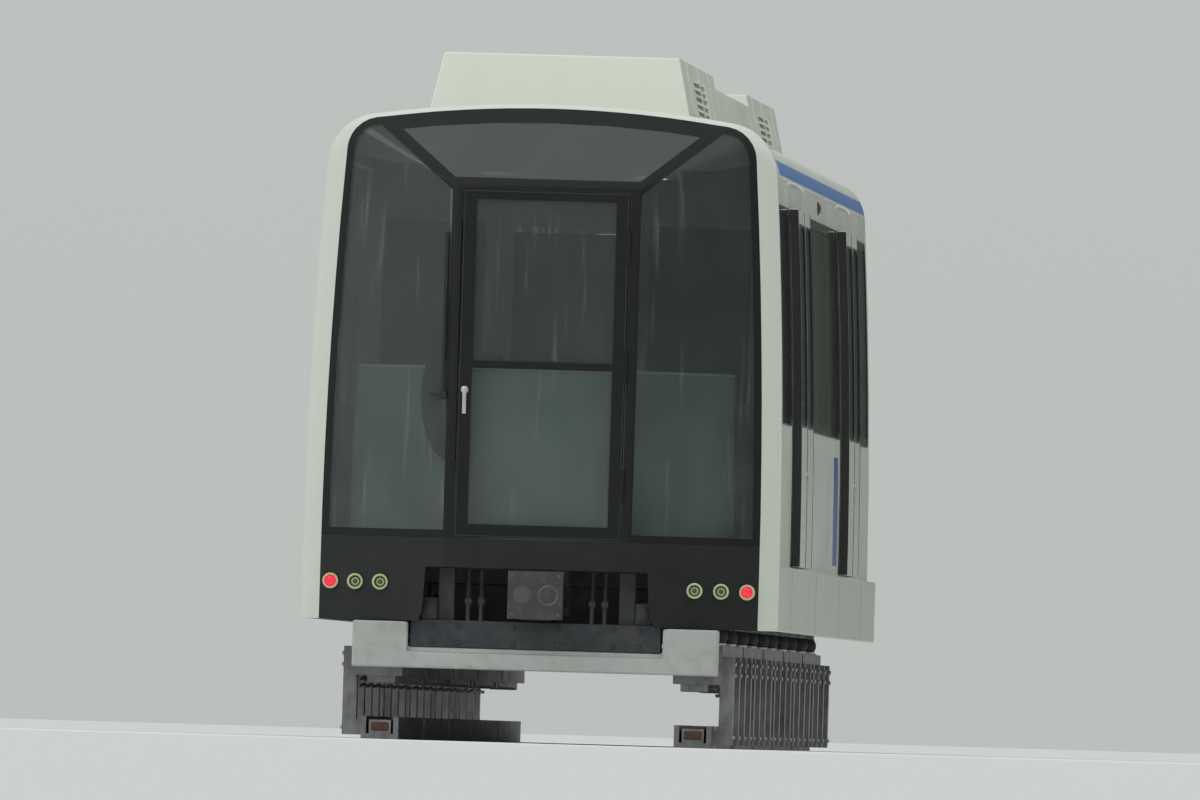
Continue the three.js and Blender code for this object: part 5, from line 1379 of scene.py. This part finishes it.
# Grab rails: polished steel poles at the benches' ends, from floor to ceiling, and rails over the seats that carry
# webbing straps with round plastic grips.
POLE_X = 0.640
POLE_RADIUS = 0.017
POLE_PLACES = [-2.225, 2.505, 4.335]
RAIL_Z = 2.860
RAIL_RUNS = [(-2.16, 2.44), (4.40, 6.62)]
STRAP_PITCH = 0.46
GRIP_RADIUS = 0.052

grip_white = Finish("grip_white", (0.62, 0.62, 0.58), 0.4)
grip_white.lay(grip_white.carried(grip_white.noise(12.0), 0.5, 0.8, 0.0, 0.4), (0.5, 0.5, 0.46))
grip_white.rough(grip_white.carried(grip_white.noise(40.0), 0.3, 0.7, 0.34, 0.5))
webbing = Finish("webbing", (0.30, 0.30, 0.29), 0.9)
webbing.lay(webbing.carried(webbing.noise(300.0), 0.4, 0.7, 0.0, 0.7), (0.2, 0.2, 0.19))
poles, rails, grips, straps = [], [], [], []


def closed_ring(centre, radius, thick, around=28, section=10):
    """A torus upright in the plane square to the car: a small circle carried round a large one."""
    turn = np.linspace(0, 2 * np.pi, around, endpoint=False)[:, None]
    small = np.linspace(0, 2 * np.pi, section, endpoint=False)[None, :]
    reach = radius + thick * np.cos(small)
    return np.stack([reach * np.cos(turn), np.broadcast_to(thick * np.sin(small), (around, section)),
                     reach * np.sin(turn)], axis=-1) + np.asarray(centre)


for side in (-1, 1):
    for y in POLE_PLACES:
        flange = 0.036
        profile = [[FLOOR_TOP + 0.002, flange], [FLOOR_TOP + 0.010, flange], [FLOOR_TOP + 0.014, POLE_RADIUS],
                   [CEILING - 0.012, POLE_RADIUS], [CEILING - 0.008, flange], [CEILING + 0.001, flange]]
        poles.append(turned(profile, (side * POLE_X, y, 0), "z", 20))
    for y0, y1 in RAIL_RUNS:
        run = np.linspace(y0, y1, 9)
        rails.append(tube(np.column_stack([np.full(9, side * POLE_X), run, np.full(9, RAIL_Z)]), POLE_RADIUS, 14,
                          (0.0, 0.0, 1.0)))
        for y in np.linspace(y0 + 0.1, y1 - 0.1, 4):
            profile = [[RAIL_Z, 0.012], [CEILING - 0.008, 0.012], [CEILING - 0.006, 0.030], [CEILING + 0.001, 0.030]]
            rails.append(turned(profile, (side * POLE_X, y, 0), "z", 16))
        for y in np.arange(y0 + STRAP_PITCH / 2, y1, STRAP_PITCH):
            x = side * POLE_X
            straps.append(block((x - 0.012, y - 0.020, RAIL_Z - 0.300), (x - 0.009, y + 0.020, RAIL_Z + 0.018), 0.001, 1))
            straps.append(block((x + 0.009, y - 0.020, RAIL_Z - 0.300), (x + 0.012, y + 0.020, RAIL_Z + 0.018), 0.001, 1))
            grips.append(closed_ring((x, y, RAIL_Z - 0.300 - GRIP_RADIUS + 0.012), GRIP_RADIUS, 0.009))
fit("grab_poles", skin("poles", *poles, angle=50), "car_body", handle_steel.material)
fit("grab_rails", skin("rails", *rails, angle=50), "car_body", handle_steel.material)
fit("strap_webbing", skin("straps", *straps), "car_body", webbing.material)
fit("strap_grips", skin("grips", *grips, wrap=True, angle=60), "car_body", grip_white.material)

# Side lamps: one small dark marker in a black surround, high on each flank at mid length.
MARKER_Z = 3.060

marker_dark = Finish("marker_dark", (0.10, 0.03, 0.01), 0.2)
marker_dark.rough(marker_dark.carried(marker_dark.noise(40.0), 0.3, 0.7, 0.15, 0.3))
surrounds, markers = [], []
for side in (-1, 1):
    at = (side * side_half(MARKER_Z), 0, MARKER_Z)
    ring = np.array([[-0.004, 0.038], [0.005, 0.038], [0.008, 0.032], [0.008, 0.028]])
    bulb = np.array([[0.000, 0.028], [0.010, 0.028], [0.017, 0.018], [0.020, 0.004]])
    surrounds.append(turned(ring * [side, 1], at, "x", 28))
    markers.append(turned(bulb * [side, 1], at, "x", 28))
fit("marker_surrounds", skin("surrounds", *surrounds, angle=50), "car_body", black_rubber.material)
fit("marker_lamps", skin("markers", *markers, angle=60), "car_body", marker_dark.material)
